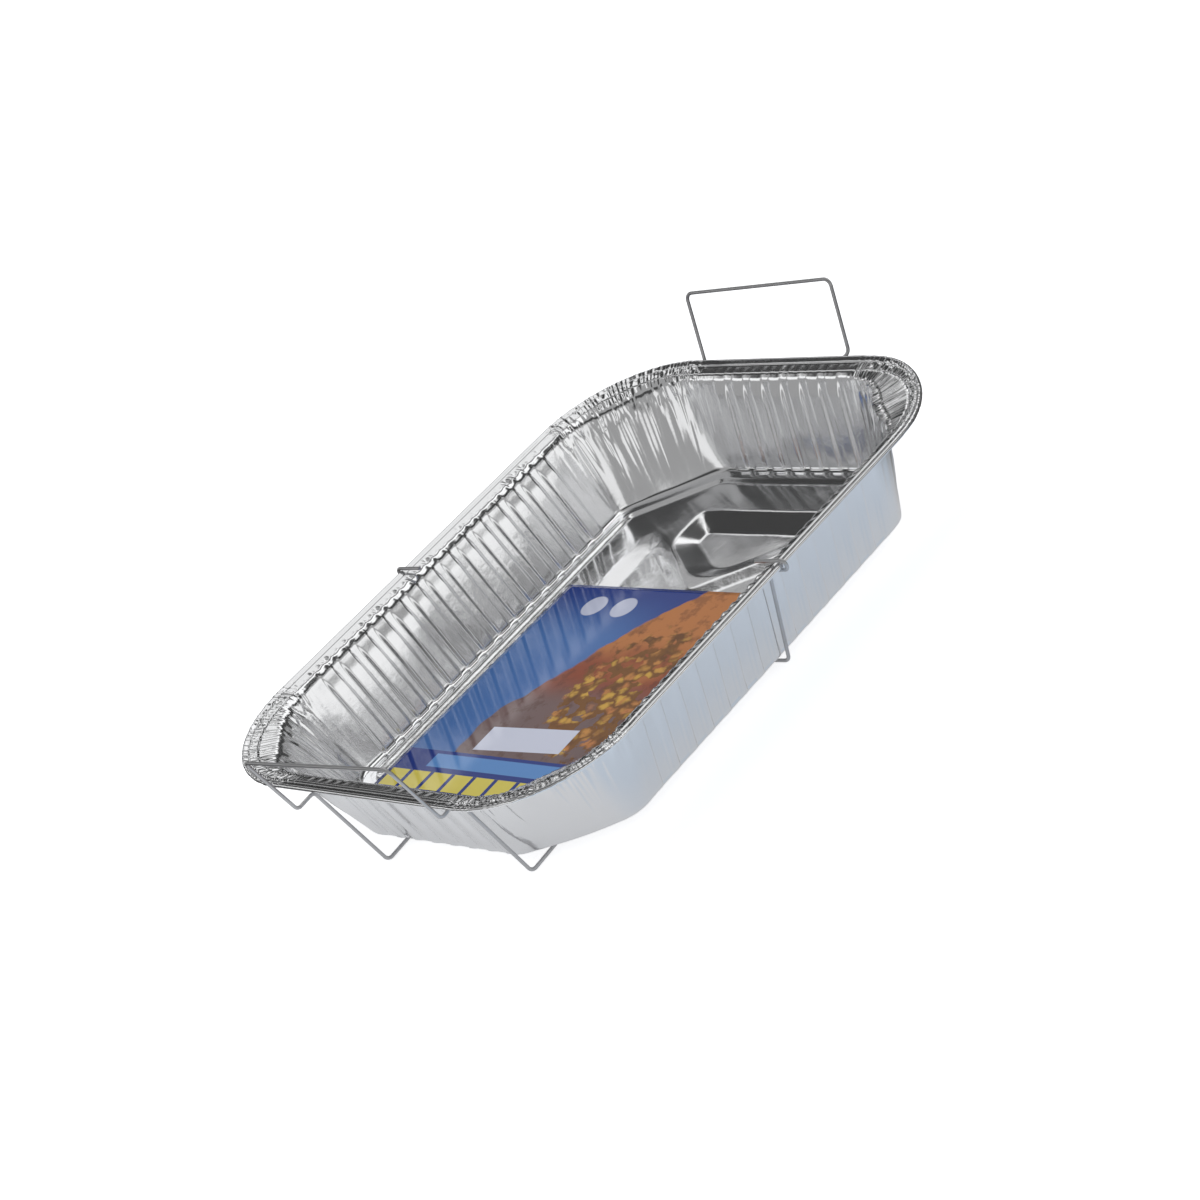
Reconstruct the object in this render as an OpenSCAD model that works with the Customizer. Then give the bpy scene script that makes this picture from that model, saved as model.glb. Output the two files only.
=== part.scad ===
// Foil roasting pan standing in a bent-wire cradle, with the printed card that lies on its floor.
// All sizes are in millimetres. X runs from one handle to the other, Y across the pan, Z up.
// The origin is under the middle of the pan, on the surface that the long wires stand on.

/* [Pan] */
// Length over the rolled edge
rim_l = 436.8; // [400:0.2:480]
// Width over the rolled edge
rim_w = 330; // [300:1:360]
// Height of the rolled edge above the table
rim_h = 76.2; // [60:0.2:95]
// Radius of the rolled edge's corners, seen from above
rim_corner_r = 82; // [60:1:100]
// Thickness of the foil
foil_t = 0.2; // [0.15:0.05:0.4]
// Length of the pan at the foot of its end walls
base_l = 371; // [350:1:380]
// Width of the pan at the foot of its long walls
base_w = 259; // [245:1:268]
// Length that the foot's cut corners take from the long walls
base_cut_x = 46; // [36:1:56]
// Length that the foot's cut corners take from the end walls
base_cut_y = 62; // [50:1:64]
// Radius where the cut corners meet the walls at the foot
base_corner_r = 20; // [8:1:26]

/* [Rim] */
// Distance from the rolled edge in to the top of the wall, on the straight sides
wall_inset = 17; // [15.5:0.5:22]
// Width of the rim from the rolled edge in to the top of the lip
flange_w = 14; // [12:0.5:15]
// Drop of the lip from the flange to the top of the wall
lip_drop = 5.2; // [3:0.2:8]
// Length that the wall top's cut corners take from the long walls
top_cut_x = 50; // [42:1:56]
// Length that the wall top's cut corners take from the end walls
top_cut_y = 45; // [40:1:52]
// Radius where the cut corners meet the walls at the top
top_corner_r = 45; // [20:1:50]
// Radius of the rolled edge's section
curl_r = 1.6; // [1.2:0.1:2.2]
// Depth of the flange below the top of the rolled edge
flange_drop = 0.7; // [0.4:0.1:1]
// Distance from the rolled edge in to where the flange begins to slope down
shoulder_inset = 7.6; // [6:0.2:10]
// Drop of the flange's sloped inner part
shoulder_drop = 2; // [0.5:0.1:2.4]

/* [Flutes and gathers] */
// Number of flutes pressed into each long wall
long_flutes = 14; // [8:1:14]
// Number of flutes pressed into each end wall
end_flutes = 7; // [3:1:7]
// Distance from one flute to the next
flute_pitch = 17; // [14:0.5:17]
// Width of the flat front of a flute
flute_w = 8.6; // [6:0.2:9]
// Width of each slanted side of a flute
flute_side = 2; // [1.2:0.1:2.5]
// How far a flute stands into the pan
flute_d = 2.1; // [1:0.1:2.6]
// Height over which a flute dies out below the lip
flute_fade = 6; // [4:0.5:12]
// Height over which a flute deepens above the foot of the wall
flute_rise = 8; // [5:0.5:14]
// Part of a flute's depth that is there at the foot
flute_foot = 0.35; // [0.1:0.05:1]
// Steps along each gathered corner, two to a fold
gather_steps = 32; // [16:2:36]
// Depth of the deepest gathered fold
gather_d = 1.3; // [0.4:0.1:1.8]
// Height of the crimps where the flange turns the corner
crimp_h = 0.35; // [0.1:0.05:0.5]

/* [Floor] */
// Height of the narrow ledge at the foot of the walls
ledge_z = 8.9; // [8:0.1:11]
// Width of that ledge
ledge_w = 9; // [6:0.5:12]
// Width of the slope from the ledge down to the floor
slope_w = 4; // [3:0.5:7]
// Depth of the floor below the ledge
slope_h = 1.5; // [1:0.1:2]
// Depth of the wide middle recess below the floor
middle_d = 2.4; // [1:0.1:2.4]
// Depth of the two end wells below the floor
well_d = 6.5; // [2:0.1:6.6]
// Width of the ridge between the middle recess and the point of a well
ridge_w = 8; // [7:0.5:12]
// Length of the middle recess
middle_l = 240; // [220:2:244]
// Width of the middle recess
middle_w = 176; // [160:1:200]
// Width of the slopes of the middle recess
middle_run = 17; // [8:1:20]
// Distance from the middle of the pan to a well's far edge
well_x = 143; // [138:1:150]
// Length of a well along the pan
well_l = 68; // [62:1:72]
// Width of a well across the pan
well_w = 114; // [90:1:118]
// Width of the slopes of a well
well_run = 16; // [10:0.5:18]

/* [Wires] */
// Diameter of the wire
wire_d = 2.3; // [1.8:0.1:2.6]
// Distance between the middles of the two long runs
cradle_w = 125; // [90:1:128]
// Height of the handle bars' middle above the table
handle_z = 119; // [105:1:150]
// How far a handle bar leans out past its own foot
handle_lean = 13.4; // [4:0.2:20]
// Turn of the cradle under the pan, which sits a little askew
cradle_turn = 4; // [0:0.5:4]
// Shift of the cradle along its own length
cradle_shift = -1.2; // [-1.4:0.2:1.4]
// Shift of the cross wire from the middle of the cradle
cross_shift = -2.5; // [-8:0.5:8]
// Length of a hook's tip over the rim
hook_l = 22; // [14:1:25]
// Radius of the wire's bends
bend_r = 5; // [4:0.5:6]

/* [Card] */
// Length of the card along the pan
card_l = 206; // [150:1:210]
// Width of the card across the pan
card_w = 224; // [150:1:226]
// Thickness of the card
card_t = 0.4; // [0.3:0.1:0.8]
// Distance from the middle of the pan to the card's far edge
card_far_x = 60; // [45:1:64]

/* [Fits] */
// Clearance between pieces that rest on each other
seat_gap = 0.1; // [0.05:0.05:0.2]
// Clearance between a wire and the foil it passes
wire_gap = 0.35; // [0.3:0.05:0.8]
// Clearance between a hook and the rolled edge inside it
hook_gap = 0.6; // [0.4:0.1:1]

/* [Hidden] */
$fn = 24;

foil_colour = [0.80, 0.81, 0.83];
wire_colour = [0.55, 0.56, 0.57];
card_colour = [0.16, 0.30, 0.62];

wire_r = wire_d / 2;
// A bend is a hair fuller than the straight wire that runs into it
bend_swell = 0.02;
bend_lap = 0.2;
floor_z = ledge_z - slope_h;
flange_z = rim_h - flange_drop;
wall_top_z = flange_z - lip_drop;
fade_z = wall_top_z - flute_fade;
rise_z = ledge_z + flute_rise;
lip_z = flange_z - shoulder_drop;
curl_z = rim_h - curl_r;

// Part of the wall's height, from 0 at its foot to 1 at its top
function rise(z) = (z - ledge_z) / (wall_top_z - ledge_z);
function mix(a, b, f) = a + (b - a) * f;

// An outline is an oblong with four cut and rounded corners:
// [half length, half width, cut along X, cut along Y, radius]
base = [base_l / 2, base_w / 2, base_cut_x, base_cut_y, base_corner_r];
wall_top = [rim_l / 2 - wall_inset, rim_w / 2 - wall_inset, top_cut_x, top_cut_y, top_corner_r];
function wall_at(z) = mix(base, wall_top, rise(z));

// The rim's outlines are truly round at the corners, which is a cut of (2 - sqrt 2) radii
round_cut = 2 - sqrt(2);
function rim_at(inset) = let (r = rim_corner_r - inset)
    [rim_l / 2 - inset, rim_w / 2 - inset, r * round_cut, r * round_cut, r];

// Outline moved in by a distance, keeping the direction of its cut corners
function inset(o, d) = let (a = atan(o[2] / o[3]), k = tan(a / 2), m = tan((90 - a) / 2))
    [o[0] - d, o[1] - d, o[2] - d * (1 - m), o[3] - d * (1 - k), max(o[4] - d, 4)];

// Turn of the outline at the corner's first and second bend, and the lengths of its three stretches
function turn(o) = atan(o[2] / o[3]);
function stretches(o) = let (a = turn(o), b = 90 - a, r = o[4])
    [r * a * PI / 180, norm([o[2], o[3]]) - r * (tan(a / 2) + tan(b / 2)), r * b * PI / 180];

// Point and outward direction at a fraction f of the way round the first-quadrant corner
function corner_point(o, f) = let (
        a = turn(o), r = o[4], s = stretches(o), d = f * (s[0] + s[1] + s[2]),
        c1 = [o[0] - r, o[1] - o[3] - r * tan(a / 2)],
        c2 = [o[0] - o[2] - r * tan((90 - a) / 2), o[1] - r],
        p = d < s[0] ? d / s[0] * a : d < s[0] + s[1] ? a : a + (d - s[0] - s[1]) / s[2] * (90 - a),
        n = [cos(p), sin(p)])
    d < s[0] ? [c1 + r * n, n]
    : d < s[0] + s[1] ? [c1 + r * n + (d - s[0]) * [-sin(a), cos(a)], n]
    : [c2 + r * n, n];

// Depth of the gathered fold at step i of corner k: up and down in turn, uneven, none at the ends
function uneven(i, k) = 0.65 + 0.35 * sin(i * 137 + k * 71) * cos(i * 53 + k * 29);
function fold(i, k) = (i % 2 == 0 ? 1 : -1) * uneven(i, k) * min(1, min(i, gather_steps - i) / 3);

// Place of a flute's four bends along a wall, and how far each stands in
flute_bends = [[-flute_w / 2 - flute_side, 0], [-flute_w / 2, 1],
    [flute_w / 2, 1], [flute_w / 2 + flute_side, 0]];
function flutes(n) = [for (i = [0:n - 1], b = flute_bends) [(i - (n - 1) / 2) * flute_pitch + b[0], b[1]]];

// One ring of the foil: outline o at height z. depth is the flutes' depth, or undef for a plain ring,
// gather is the corner folds' depth in plan, crimp is their height, and out moves the whole ring outwards.
// The four walls and the four corners follow each other anticlockwise from the +X end.
function ring(o, z, depth = undef, gather = 0, crimp = 0, out = 0) = let (
        sx = [1, -1, -1, 1], sy = [1, 1, -1, -1], end_side = [1, 0, -1, 0], long_side = [0, 1, 0, -1])
    [for (k = [0:3]) each concat(
        is_undef(depth) ? [] : [for (b = flutes(k % 2 == 0 ? end_flutes : long_flutes))
            k % 2 == 0 ? [end_side[k] * (o[0] + out - b[1] * depth), end_side[k] * b[0], z]
            : [-long_side[k] * b[0], long_side[k] * (o[1] + out - b[1] * depth), z]],
        [for (i = [0:gather_steps]) let (
                f = (k % 2 == 0 ? i : gather_steps - i) / gather_steps,
                q = corner_point(o, f), p = q[0] + q[1] * (gather * fold(i, k) + out))
            [sx[k] * p[0], sy[k] * p[1], z + crimp * fold(i, k)]])];

// Number of points on one wall of a ring, and the places in a plain ring that a fluted ring's points join
corner_n = gather_steps + 1;
function wall_n(k, fluted) = fluted ? 4 * (k % 2 == 0 ? end_flutes : long_flutes) : 0;
function joins(fluted) = [for (k = [0:3]) each concat(
    [for (i = [0:1:wall_n(k, fluted) - 1])
        i < wall_n(k, fluted) / 2 ? (k * corner_n + 4 * corner_n - 1) % (4 * corner_n) : k * corner_n],
    [for (i = [0:gather_steps]) k * corner_n + i])];

// Places of one ring's points that stand across from each step of the ring below or above.
// A step from i to i + 1 on the ring with more points makes one or two triangles.
function band(n_a, start_a, n_b, start_b, to_b, flip) = [for (i = [0:n_a - 1]) let (
        j = (i + 1) % n_a,
        a0 = start_a + i, a1 = start_a + j,
        b0 = start_b + to_b[i], b1 = start_b + to_b[j])
    each concat([flip ? [a0, a1, b0] : [a0, b0, a1]], b0 == b1 ? [] : [flip ? [a1, b1, b0] : [a1, b0, b1]])];

// Closed skin through a list of rings, each [fluted, points], with flat ends. Its second half comes back
// along its first, and is cut into the same triangles, so that the two sides of the foil never cross.
module skin(rings) {
    sizes = [for (r = rings) len(r[1])];
    starts = [for (i = 0, s = 0; i < len(rings); s = s + sizes[i], i = i + 1) s];
    same = [for (r = rings) [for (i = [0:len(r[1]) - 1]) i]];
    last = len(rings) - 1;
    onward = [for (r = [0:last - 1]) sizes[r] == sizes[r + 1] ? r < last / 2 : sizes[r] > sizes[r + 1]];
    faces = concat(
        [[for (i = [sizes[0] - 1:-1:0]) starts[0] + i]],
        [for (r = [0:last - 1]) let (a = onward[r] ? r : r + 1, b = onward[r] ? r + 1 : r)
            each band(sizes[a], starts[a], sizes[b], starts[b],
                rings[a][0] && !rings[b][0] ? joins(true) : same[a], onward[r])],
        [[for (i = [0:sizes[last] - 1]) starts[last] + i]]);
    polyhedron(points = [for (r = rings) each r[1]], faces = faces, convexity = 8);
}

// Section of the rolled edge: a ring at each of these angles round its middle
curl_angles = [100, 45, -10, -70, -130, -180];
curl_rings = [for (a = curl_angles)
    [false, ring(rim_at(curl_r * (1 - cos(a))), curl_z + curl_r * sin(a), crimp = crimp_h / 3)]];
curl_foot = 2 * curl_r + 0.2;

// Depth of the gathers above the foot, at the lip and on the rim
foot_fold = gather_d * 0.3;
lip_fold = gather_d * 0.8;
rim_fold = gather_d * 0.25;

// Foil from the floor out over the wall, the rim and the rolled edge, and back underneath
slope_foot = inset(base, ledge_w + slope_w);
ledge_edge = inset(base, ledge_w);
foil_rings = concat([
    [false, ring(slope_foot, floor_z)],
    [true, ring(ledge_edge, ledge_z, 0)],
    [true, ring(base, ledge_z, flute_d * flute_foot)],
    [true, ring(wall_at(rise_z), rise_z, flute_d, foot_fold)],
    [true, ring(wall_at(fade_z), fade_z, flute_d, gather_d)],
    [false, ring(wall_top, wall_top_z, gather = lip_fold)],
    [false, ring(rim_at(flange_w), lip_z, gather = rim_fold, crimp = crimp_h)],
    [false, ring(rim_at(shoulder_inset), flange_z, crimp = crimp_h)],
    [false, ring(rim_at(curl_foot), flange_z, crimp = crimp_h / 3)]],
    curl_rings, [
    [false, ring(rim_at(curl_foot), flange_z - foil_t, crimp = crimp_h / 3)],
    [false, ring(rim_at(shoulder_inset), flange_z - foil_t, crimp = crimp_h)],
    [false, ring(rim_at(flange_w), lip_z - foil_t, gather = rim_fold, crimp = crimp_h, out = foil_t / 2)],
    [false, ring(wall_top, wall_top_z, gather = lip_fold, out = foil_t)],
    [true, ring(wall_at(fade_z), fade_z, flute_d, gather_d, out = foil_t)],
    [true, ring(wall_at(rise_z), rise_z, flute_d, foot_fold, out = foil_t)],
    [true, ring(base, ledge_z - foil_t, flute_d * flute_foot, out = foil_t)],
    [true, ring(ledge_edge, ledge_z - foil_t, 0)],
    [false, ring(slope_foot, floor_z - foil_t)]]);

// Closed outline through corners [x, y, cut]: each is rounded over the length of its cut, or sharp at 0
corner_steps = 8;
function unit(v) = v / norm(v);
function rounded(v) = [for (i = [0:len(v) - 1]) let (
        n = len(v), xy = [for (c = v) [c[0], c[1]]], c = xy[i],
        a = c + v[i][2] * unit(xy[(i + n - 1) % n] - c), b = c + v[i][2] * unit(xy[(i + 1) % n] - c))
    each v[i][2] == 0 ? [c]
        : [for (s = [0:corner_steps]) let (t = s / corner_steps)
            (1 - t) ^ 2 * a + 2 * t * (1 - t) * c + t ^ 2 * b]];

// Pressed recess from a convex outline at its edge down to one on its bed. It stands up past its edge by
// lead, so that it joins or cuts clean through the foil.
module recess(edge, bed, z, depth, lead) {
    n = len(edge);
    level = function (v, h) [for (p = v) [p[0], p[1], h]];
    same = [for (i = [0:n - 1]) i];
    levels = concat(level(bed, z - depth), level(edge, z), level(edge, z + lead));
    hull() polyhedron(points = levels, faces = concat(
        [same], band(n, 0, n, n, same, false), band(n, n, n, 2 * n, same, false),
        [[for (i = [n - 1:-1:0]) 2 * n + i]]), convexity = 2);
}

// Corners of a shape that is the same on both sides of y = 0, anticlockwise from the one on that line
function two_sided(v) = concat([for (i = [0:len(v) - 1]) [v[i][0], -v[i][1], v[i][2]]],
    [for (i = [len(v) - 1:-1:1]) v[i]]);

// End well: a rounded pick shape with its point towards the middle of the pan. The cuts round its corners:
// at the point, at the shoulders and at the far corners, first at the edge and then on the bed.
point_slant = 42 / 57;
point_reach = 10;
point_run = 1.3;
edge_cuts = [33, 12, 9];
bed_cuts = [17, 5, 3];
function pick(point_x, far_x, half_w, cuts) = rounded(two_sided([[point_x, 0, cuts[0]],
    [point_x + point_slant * half_w, half_w, cuts[1]], [far_x, half_w, cuts[2]]]));
point_x = well_x - well_l - point_reach;
well_edge = pick(point_x, well_x, well_w / 2, edge_cuts);
well_bed = pick(point_x + well_run * point_run, well_x - well_run, well_w / 2 - well_run, bed_cuts);

// Half of the middle recess, an oblong with a notch in each end for the point of a well. Its ends slant a
// little, by end_slant over the last corner_w of its width, and its corners have small cuts.
notch_ridge = 1.7;
notch_run = 0.8;
end_slant = 2;
corner_w = 18;
notch_x = well_x - well_l - ridge_w * notch_ridge;
function both_ends(v) = concat(v, [for (i = [len(v) - 1:-1:0]) [-v[i][0], v[i][1], v[i][2]]]);
function notched(x, half_l, half_w, slant, corner, cuts) = rounded(both_ends([[x, 0, 0],
    [half_l - slant, half_w - corner, cuts[0]], [half_l, half_w, cuts[1]]]));
middle_edge = notched(notch_x, middle_l / 2, middle_w / 2, end_slant, corner_w, [6, 11]);
middle_bed = notched(notch_x - middle_run * notch_run, middle_l / 2 - middle_run - 2 * end_slant,
    middle_w / 2 - middle_run, end_slant / 2, corner_w / 3, [2, 3]);

// All the recesses of the floor, pressed lower by t for the underside of the foil
module recesses(t, lead) {
    for (side = [0, 180]) rotate(side) {
        recess(well_edge, well_bed, floor_z - t, well_d, lead);
        recess(middle_edge, middle_bed, floor_z - t, middle_d, lead);
    }
}

// Pan, pressed from one sheet
module foil_pan() {
    color(foil_colour) difference() {
        union() {
            skin(foil_rings);
            recesses(foil_t, foil_t / 2);
        }
        recesses(0, foil_t * 2);
    }
}

// Straight wire between two points, run on into the bends at its ends
module rod(a, b) {
    v = b - a;
    translate(a) rotate([0, acos(v[2] / norm(v)), atan2(v[1], v[0])])
        translate([0, 0, -bend_lap]) cylinder(r = wire_r, h = norm(v) + 2 * bend_lap);
}

// Bend of radius r from heading u to heading v, whose corner is at p
module bend(p, u, v, r) {
    w = acos(u * v);
    n = unit(cross(u, v));
    out = cross(u, n);
    c = p - u * r * tan(w / 2) - out * r;
    multmatrix([for (i = [0:2]) [out[i], u[i], n[i], c[i]]])
        rotate_extrude(angle = w) translate([r, 0]) circle(r = wire_r + bend_swell);
}

// Wire through a list of [point, bend radius], with its two ends left open or joined
module wire(path, closed) {
    n = len(path);
    heading = [for (i = [0:n - 1]) unit(path[(i + 1) % n][0] - path[i][0])];
    first = closed ? 0 : 1;
    last = closed ? n - 1 : n - 2;
    trim = [for (i = [0:n - 1]) i < first || i > last ? bend_lap
        : path[i][1] * tan(acos(heading[(i + n - 1) % n] * heading[i]) / 2)];
    for (i = [0:closed ? n - 1 : n - 2]) let (j = (i + 1) % n)
        rod(path[i][0] + heading[i] * trim[i], path[j][0] - heading[i] * trim[j]);
    for (i = [first:last]) bend(path[i][0], heading[(i + n - 1) % n], heading[i], path[i][1]);
}

// Heights of the wires where they pass under the rim
leg_top_z = rim_h - 2 * curl_r - wire_gap - wire_r;

// Room for each bend beside the foil, where the wire turns short of its corner
foot_room = 1.4;
leg_room = 2.2;
handle_room = 0.6;
cross_foot_room = 1.2;
cross_top_room = 2.6;

// How far out the cradle's corners stand, so that the turned cradle clears the pan at every height
side_reach = cradle_w / 2 * sin(cradle_turn) + abs(cradle_shift) + wire_r + wire_gap;
wall_slope = (wall_top[0] - base[0]) / (wall_top_z - ledge_z);
foot_x = base_l / 2 + side_reach - wall_slope * (ledge_z - wire_r) + foot_room;
leg_top_x = rim_l / 2 - wall_inset + side_reach + leg_room;
handle_foot_x = rim_l / 2 + side_reach + handle_room;

// One end of the cradle, from the long run up to the middle of the handle bar, for side s of end e
function leg(e, s) = [
    [[e * foot_x, s * cradle_w / 2, wire_r], bend_r],
    [[e * leg_top_x, s * cradle_w / 2, leg_top_z], bend_r - 1],
    [[e * handle_foot_x, s * cradle_w / 2, leg_top_z], bend_r - 1],
    [[e * (handle_foot_x + handle_lean), s * cradle_w / 2, handle_z], bend_r]];
function reversed(v) = [for (i = [len(v) - 1:-1:0]) v[i]];

// Cradle: one wire that makes both long runs, the four legs and the two handles
module cradle_wire() {
    color(wire_colour) rotate(cradle_turn) translate([cradle_shift, 0, 0])
        wire(concat(leg(1, 1), reversed(leg(1, -1)), leg(-1, -1), reversed(leg(-1, 1))), true);
}

// Cross wire's heights and reaches: on the long runs below, and round the rolled edge at the hooks
cross_z = wire_d + seat_gap + wire_r;
hook_r = curl_r + hook_gap + wire_r;
hook_y = (rim_w / 2 - curl_r + hook_r) / cos(cradle_turn)
    + abs(cradle_shift + cross_shift) * tan(cradle_turn);
side_slope = (wall_top[1] - base[1]) / (wall_top_z - ledge_z);
cross_foot_y = base_w / 2 + wire_r + wire_gap - side_slope * (ledge_z - cross_z) + cross_foot_room;
cross_top_y = rim_w / 2 - wall_inset + wire_r + wire_gap + cross_top_room;

// One end of the cross wire, from the run under the pan round the rim to the hook's tip
function hook(s) = [
    [[0, s * cross_foot_y, cross_z], bend_r],
    [[0, s * cross_top_y, curl_z - hook_r], bend_r - 1],
    [[0, s * hook_y, curl_z - hook_r], hook_r * 0.9],
    [[0, s * hook_y, curl_z + hook_r], hook_r * 0.9],
    [[0, s * (hook_y - hook_l), curl_z + hook_r], 0]];

// Cross wire, hooked over the rim at both sides
module cross_wire() {
    color(wire_colour) rotate(cradle_turn) translate([cradle_shift + cross_shift, 0, 0])
        wire(concat(reversed(hook(-1)), hook(1)), false);
}

// Card: its far edge lies on the floor and its near corners on the ledge, just in from its near edge
card_lip = 5;
card_rest_x = card_far_x - card_l + card_lip;
card_tilt = atan((ledge_z - floor_z) / (card_far_x - card_rest_x));
module label_card() {
    color(card_colour) translate([card_far_x, 0, floor_z + seat_gap]) rotate([0, card_tilt, 0])
        translate([-card_l, -card_w / 2, 0]) cube([card_l, card_w, card_t]);
}

foil_pan();
cradle_wire();
cross_wire();
label_card();
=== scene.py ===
"""Dressed scene of a foil roasting pan in its wire cradle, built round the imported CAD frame.

The foil is worked out as whole numpy arrays: columns run up the sheet from the floor to the rolled
edge, rows run round the pan, and every crease, flute and bead is a height added to that grid.
All sizes are in metres, in the frame's own axes.
"""

import logging
import math
from dataclasses import dataclass, field
from enum import Enum

import bpy
import numpy as np
from mathutils import Matrix, Vector


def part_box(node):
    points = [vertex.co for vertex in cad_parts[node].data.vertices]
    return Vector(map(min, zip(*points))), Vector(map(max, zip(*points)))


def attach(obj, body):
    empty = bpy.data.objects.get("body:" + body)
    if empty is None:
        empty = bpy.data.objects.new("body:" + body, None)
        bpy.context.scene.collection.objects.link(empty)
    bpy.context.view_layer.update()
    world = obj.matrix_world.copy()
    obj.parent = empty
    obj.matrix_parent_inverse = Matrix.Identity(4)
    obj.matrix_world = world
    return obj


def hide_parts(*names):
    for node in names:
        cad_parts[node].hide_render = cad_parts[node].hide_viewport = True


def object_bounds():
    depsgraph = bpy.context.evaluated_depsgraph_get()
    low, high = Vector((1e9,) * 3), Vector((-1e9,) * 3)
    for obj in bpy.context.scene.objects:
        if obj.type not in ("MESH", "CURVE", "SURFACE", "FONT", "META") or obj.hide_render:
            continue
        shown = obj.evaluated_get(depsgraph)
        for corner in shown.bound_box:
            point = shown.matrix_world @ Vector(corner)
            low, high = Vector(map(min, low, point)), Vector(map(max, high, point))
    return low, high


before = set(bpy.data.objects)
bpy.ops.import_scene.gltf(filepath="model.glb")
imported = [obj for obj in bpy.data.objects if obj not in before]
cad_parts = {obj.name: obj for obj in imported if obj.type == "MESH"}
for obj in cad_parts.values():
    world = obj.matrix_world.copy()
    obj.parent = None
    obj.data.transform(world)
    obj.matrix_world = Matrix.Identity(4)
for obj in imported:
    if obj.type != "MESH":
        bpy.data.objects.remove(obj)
CAD_LOW, CAD_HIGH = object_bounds()
MM = 0.001
LEAST_RADIUS = 4.0 * MM
BEND_STEPS = 40
LEAST_LENGTH = 1e-9
WHITE = (1.0, 1.0, 1.0, 1.0)
Colour = tuple[float, float, float, float]
Corners = tuple[tuple[float, float, float], ...]
Socket = bpy.types.NodeSocket
log = logging.getLogger("foil_roasting_pan")


class Part(Enum):
    """CAD nodes of the frame."""

    PAN = "foil_pan"
    CRADLE = "cradle_wire"
    CROSS = "cross_wire"
    CARD = "label_card"


class Slot(Enum):
    """Material slots of the record."""

    FOIL = "foil"
    WIRE = "wire"
    CARD = "card"


def smooth(low: float, high: float, x: np.ndarray) -> np.ndarray:
    """Smooth step from 0 at low to 1 at high: t * t * (3 - 2 * t) of the clamped share t.

    Args:
        low: Where the step starts.
        high: Where the step ends.
        x: Places.

    Returns:
        The step at each place.
    """
    t = np.clip((x - low) / (high - low), 0.0, 1.0)
    return t * t * (3.0 - 2.0 * t)


def eased_ramp(t: np.ndarray, ease: float) -> np.ndarray:
    """Straight ramp from 0 to 1 whose two ends are rounded: the ramp's mean over t - ease .. t + ease.

    Args:
        t: Share of the way, which may lie outside 0 .. 1.
        ease: Half the length over which an end is rounded.

    Returns:
        The ramp's height at each t.
    """
    def total(x: np.ndarray) -> np.ndarray:
        """Area under the plain ramp up to x."""
        inside = np.clip(x, 0.0, 1.0)
        return 0.5 * inside * inside + np.maximum(x - 1.0, 0.0)

    return (total(t + ease) - total(t - ease)) / (2.0 * ease)


@dataclass(frozen=True)
class Waves:
    """Uneven surface made of crossing sine waves, with a fixed seed, so that it is the same each time.

    Attributes:
        seed: Seed of the random draws.
        shortest: Length of the shortest wave, in metres.
        longest: Length of the longest wave, in metres.
        count: Number of waves.
    """

    seed: int
    shortest: float
    longest: float
    count: int

    def at(self, x: np.ndarray, y: np.ndarray) -> np.ndarray:
        """Height at places x, y: sum of a * sin(k . p + phase), scaled to about 1 in size.

        Args:
            x: First coordinate, in metres.
            y: Second coordinate, in metres.

        Returns:
            Heights with the shape of x.
        """
        rng = np.random.default_rng(self.seed)
        length = np.exp(rng.uniform(math.log(self.shortest), math.log(self.longest), self.count))
        angle = rng.uniform(0.0, 2.0 * math.pi, self.count)
        phase = rng.uniform(0.0, 2.0 * math.pi, self.count)
        k = 2.0 * math.pi / length
        turn = np.multiply.outer(x, k * np.cos(angle)) + np.multiply.outer(y, k * np.sin(angle)) + phase
        weight = length / self.longest
        return (np.sin(turn) * weight).sum(axis=-1) / math.sqrt(0.5 * float((weight ** 2).sum()))


def grid_faces(rows: int, columns: int, closed: bool) -> np.ndarray:
    """Four-cornered faces between the points of a grid, row by row.

    Args:
        rows: Number of rows.
        columns: Number of columns.
        closed: True if the last column joins the first.

    Returns:
        Faces as an (n, 4) array of point numbers.
    """
    across = np.arange(columns if closed else columns - 1)
    up = np.arange(rows - 1)[:, None]
    right = (across + 1) % columns
    corners = [up * columns + across, up * columns + right,
               (up + 1) * columns + right, (up + 1) * columns + across]
    return np.stack([c.ravel() for c in corners], axis=1)


def mesh_object(name: str, points: np.ndarray, faces: np.ndarray,
                uv: np.ndarray | None = None) -> bpy.types.Object:
    """Makes a smooth-shaded mesh object at the origin.

    Args:
        name: Object name.
        points: (n, 3) places.
        faces: (m, 4) point numbers.
        uv: (n, 2) place of each point on the UV map, if there is one.

    Returns:
        The linked object.
    """
    mesh = bpy.data.meshes.new(name)
    mesh.vertices.add(len(points))
    mesh.vertices.foreach_set("co", points.astype(np.float32).ravel())
    mesh.loops.add(faces.size)
    mesh.loops.foreach_set("vertex_index", faces.astype(np.int32).ravel())
    mesh.polygons.add(len(faces))
    mesh.polygons.foreach_set("loop_start", np.arange(0, faces.size, faces.shape[1], dtype=np.int32))
    if uv is not None:
        layer = mesh.uv_layers.new(name="UVMap")
        layer.data.foreach_set("uv", uv[faces.ravel()].astype(np.float32).ravel())
    mesh.update(calc_edges=True)
    mesh.validate()
    mesh.polygons.foreach_set("use_smooth", np.ones(len(mesh.polygons), dtype=bool))
    made = bpy.data.objects.new(name, mesh)
    bpy.context.scene.collection.objects.link(made)
    return made


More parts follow.
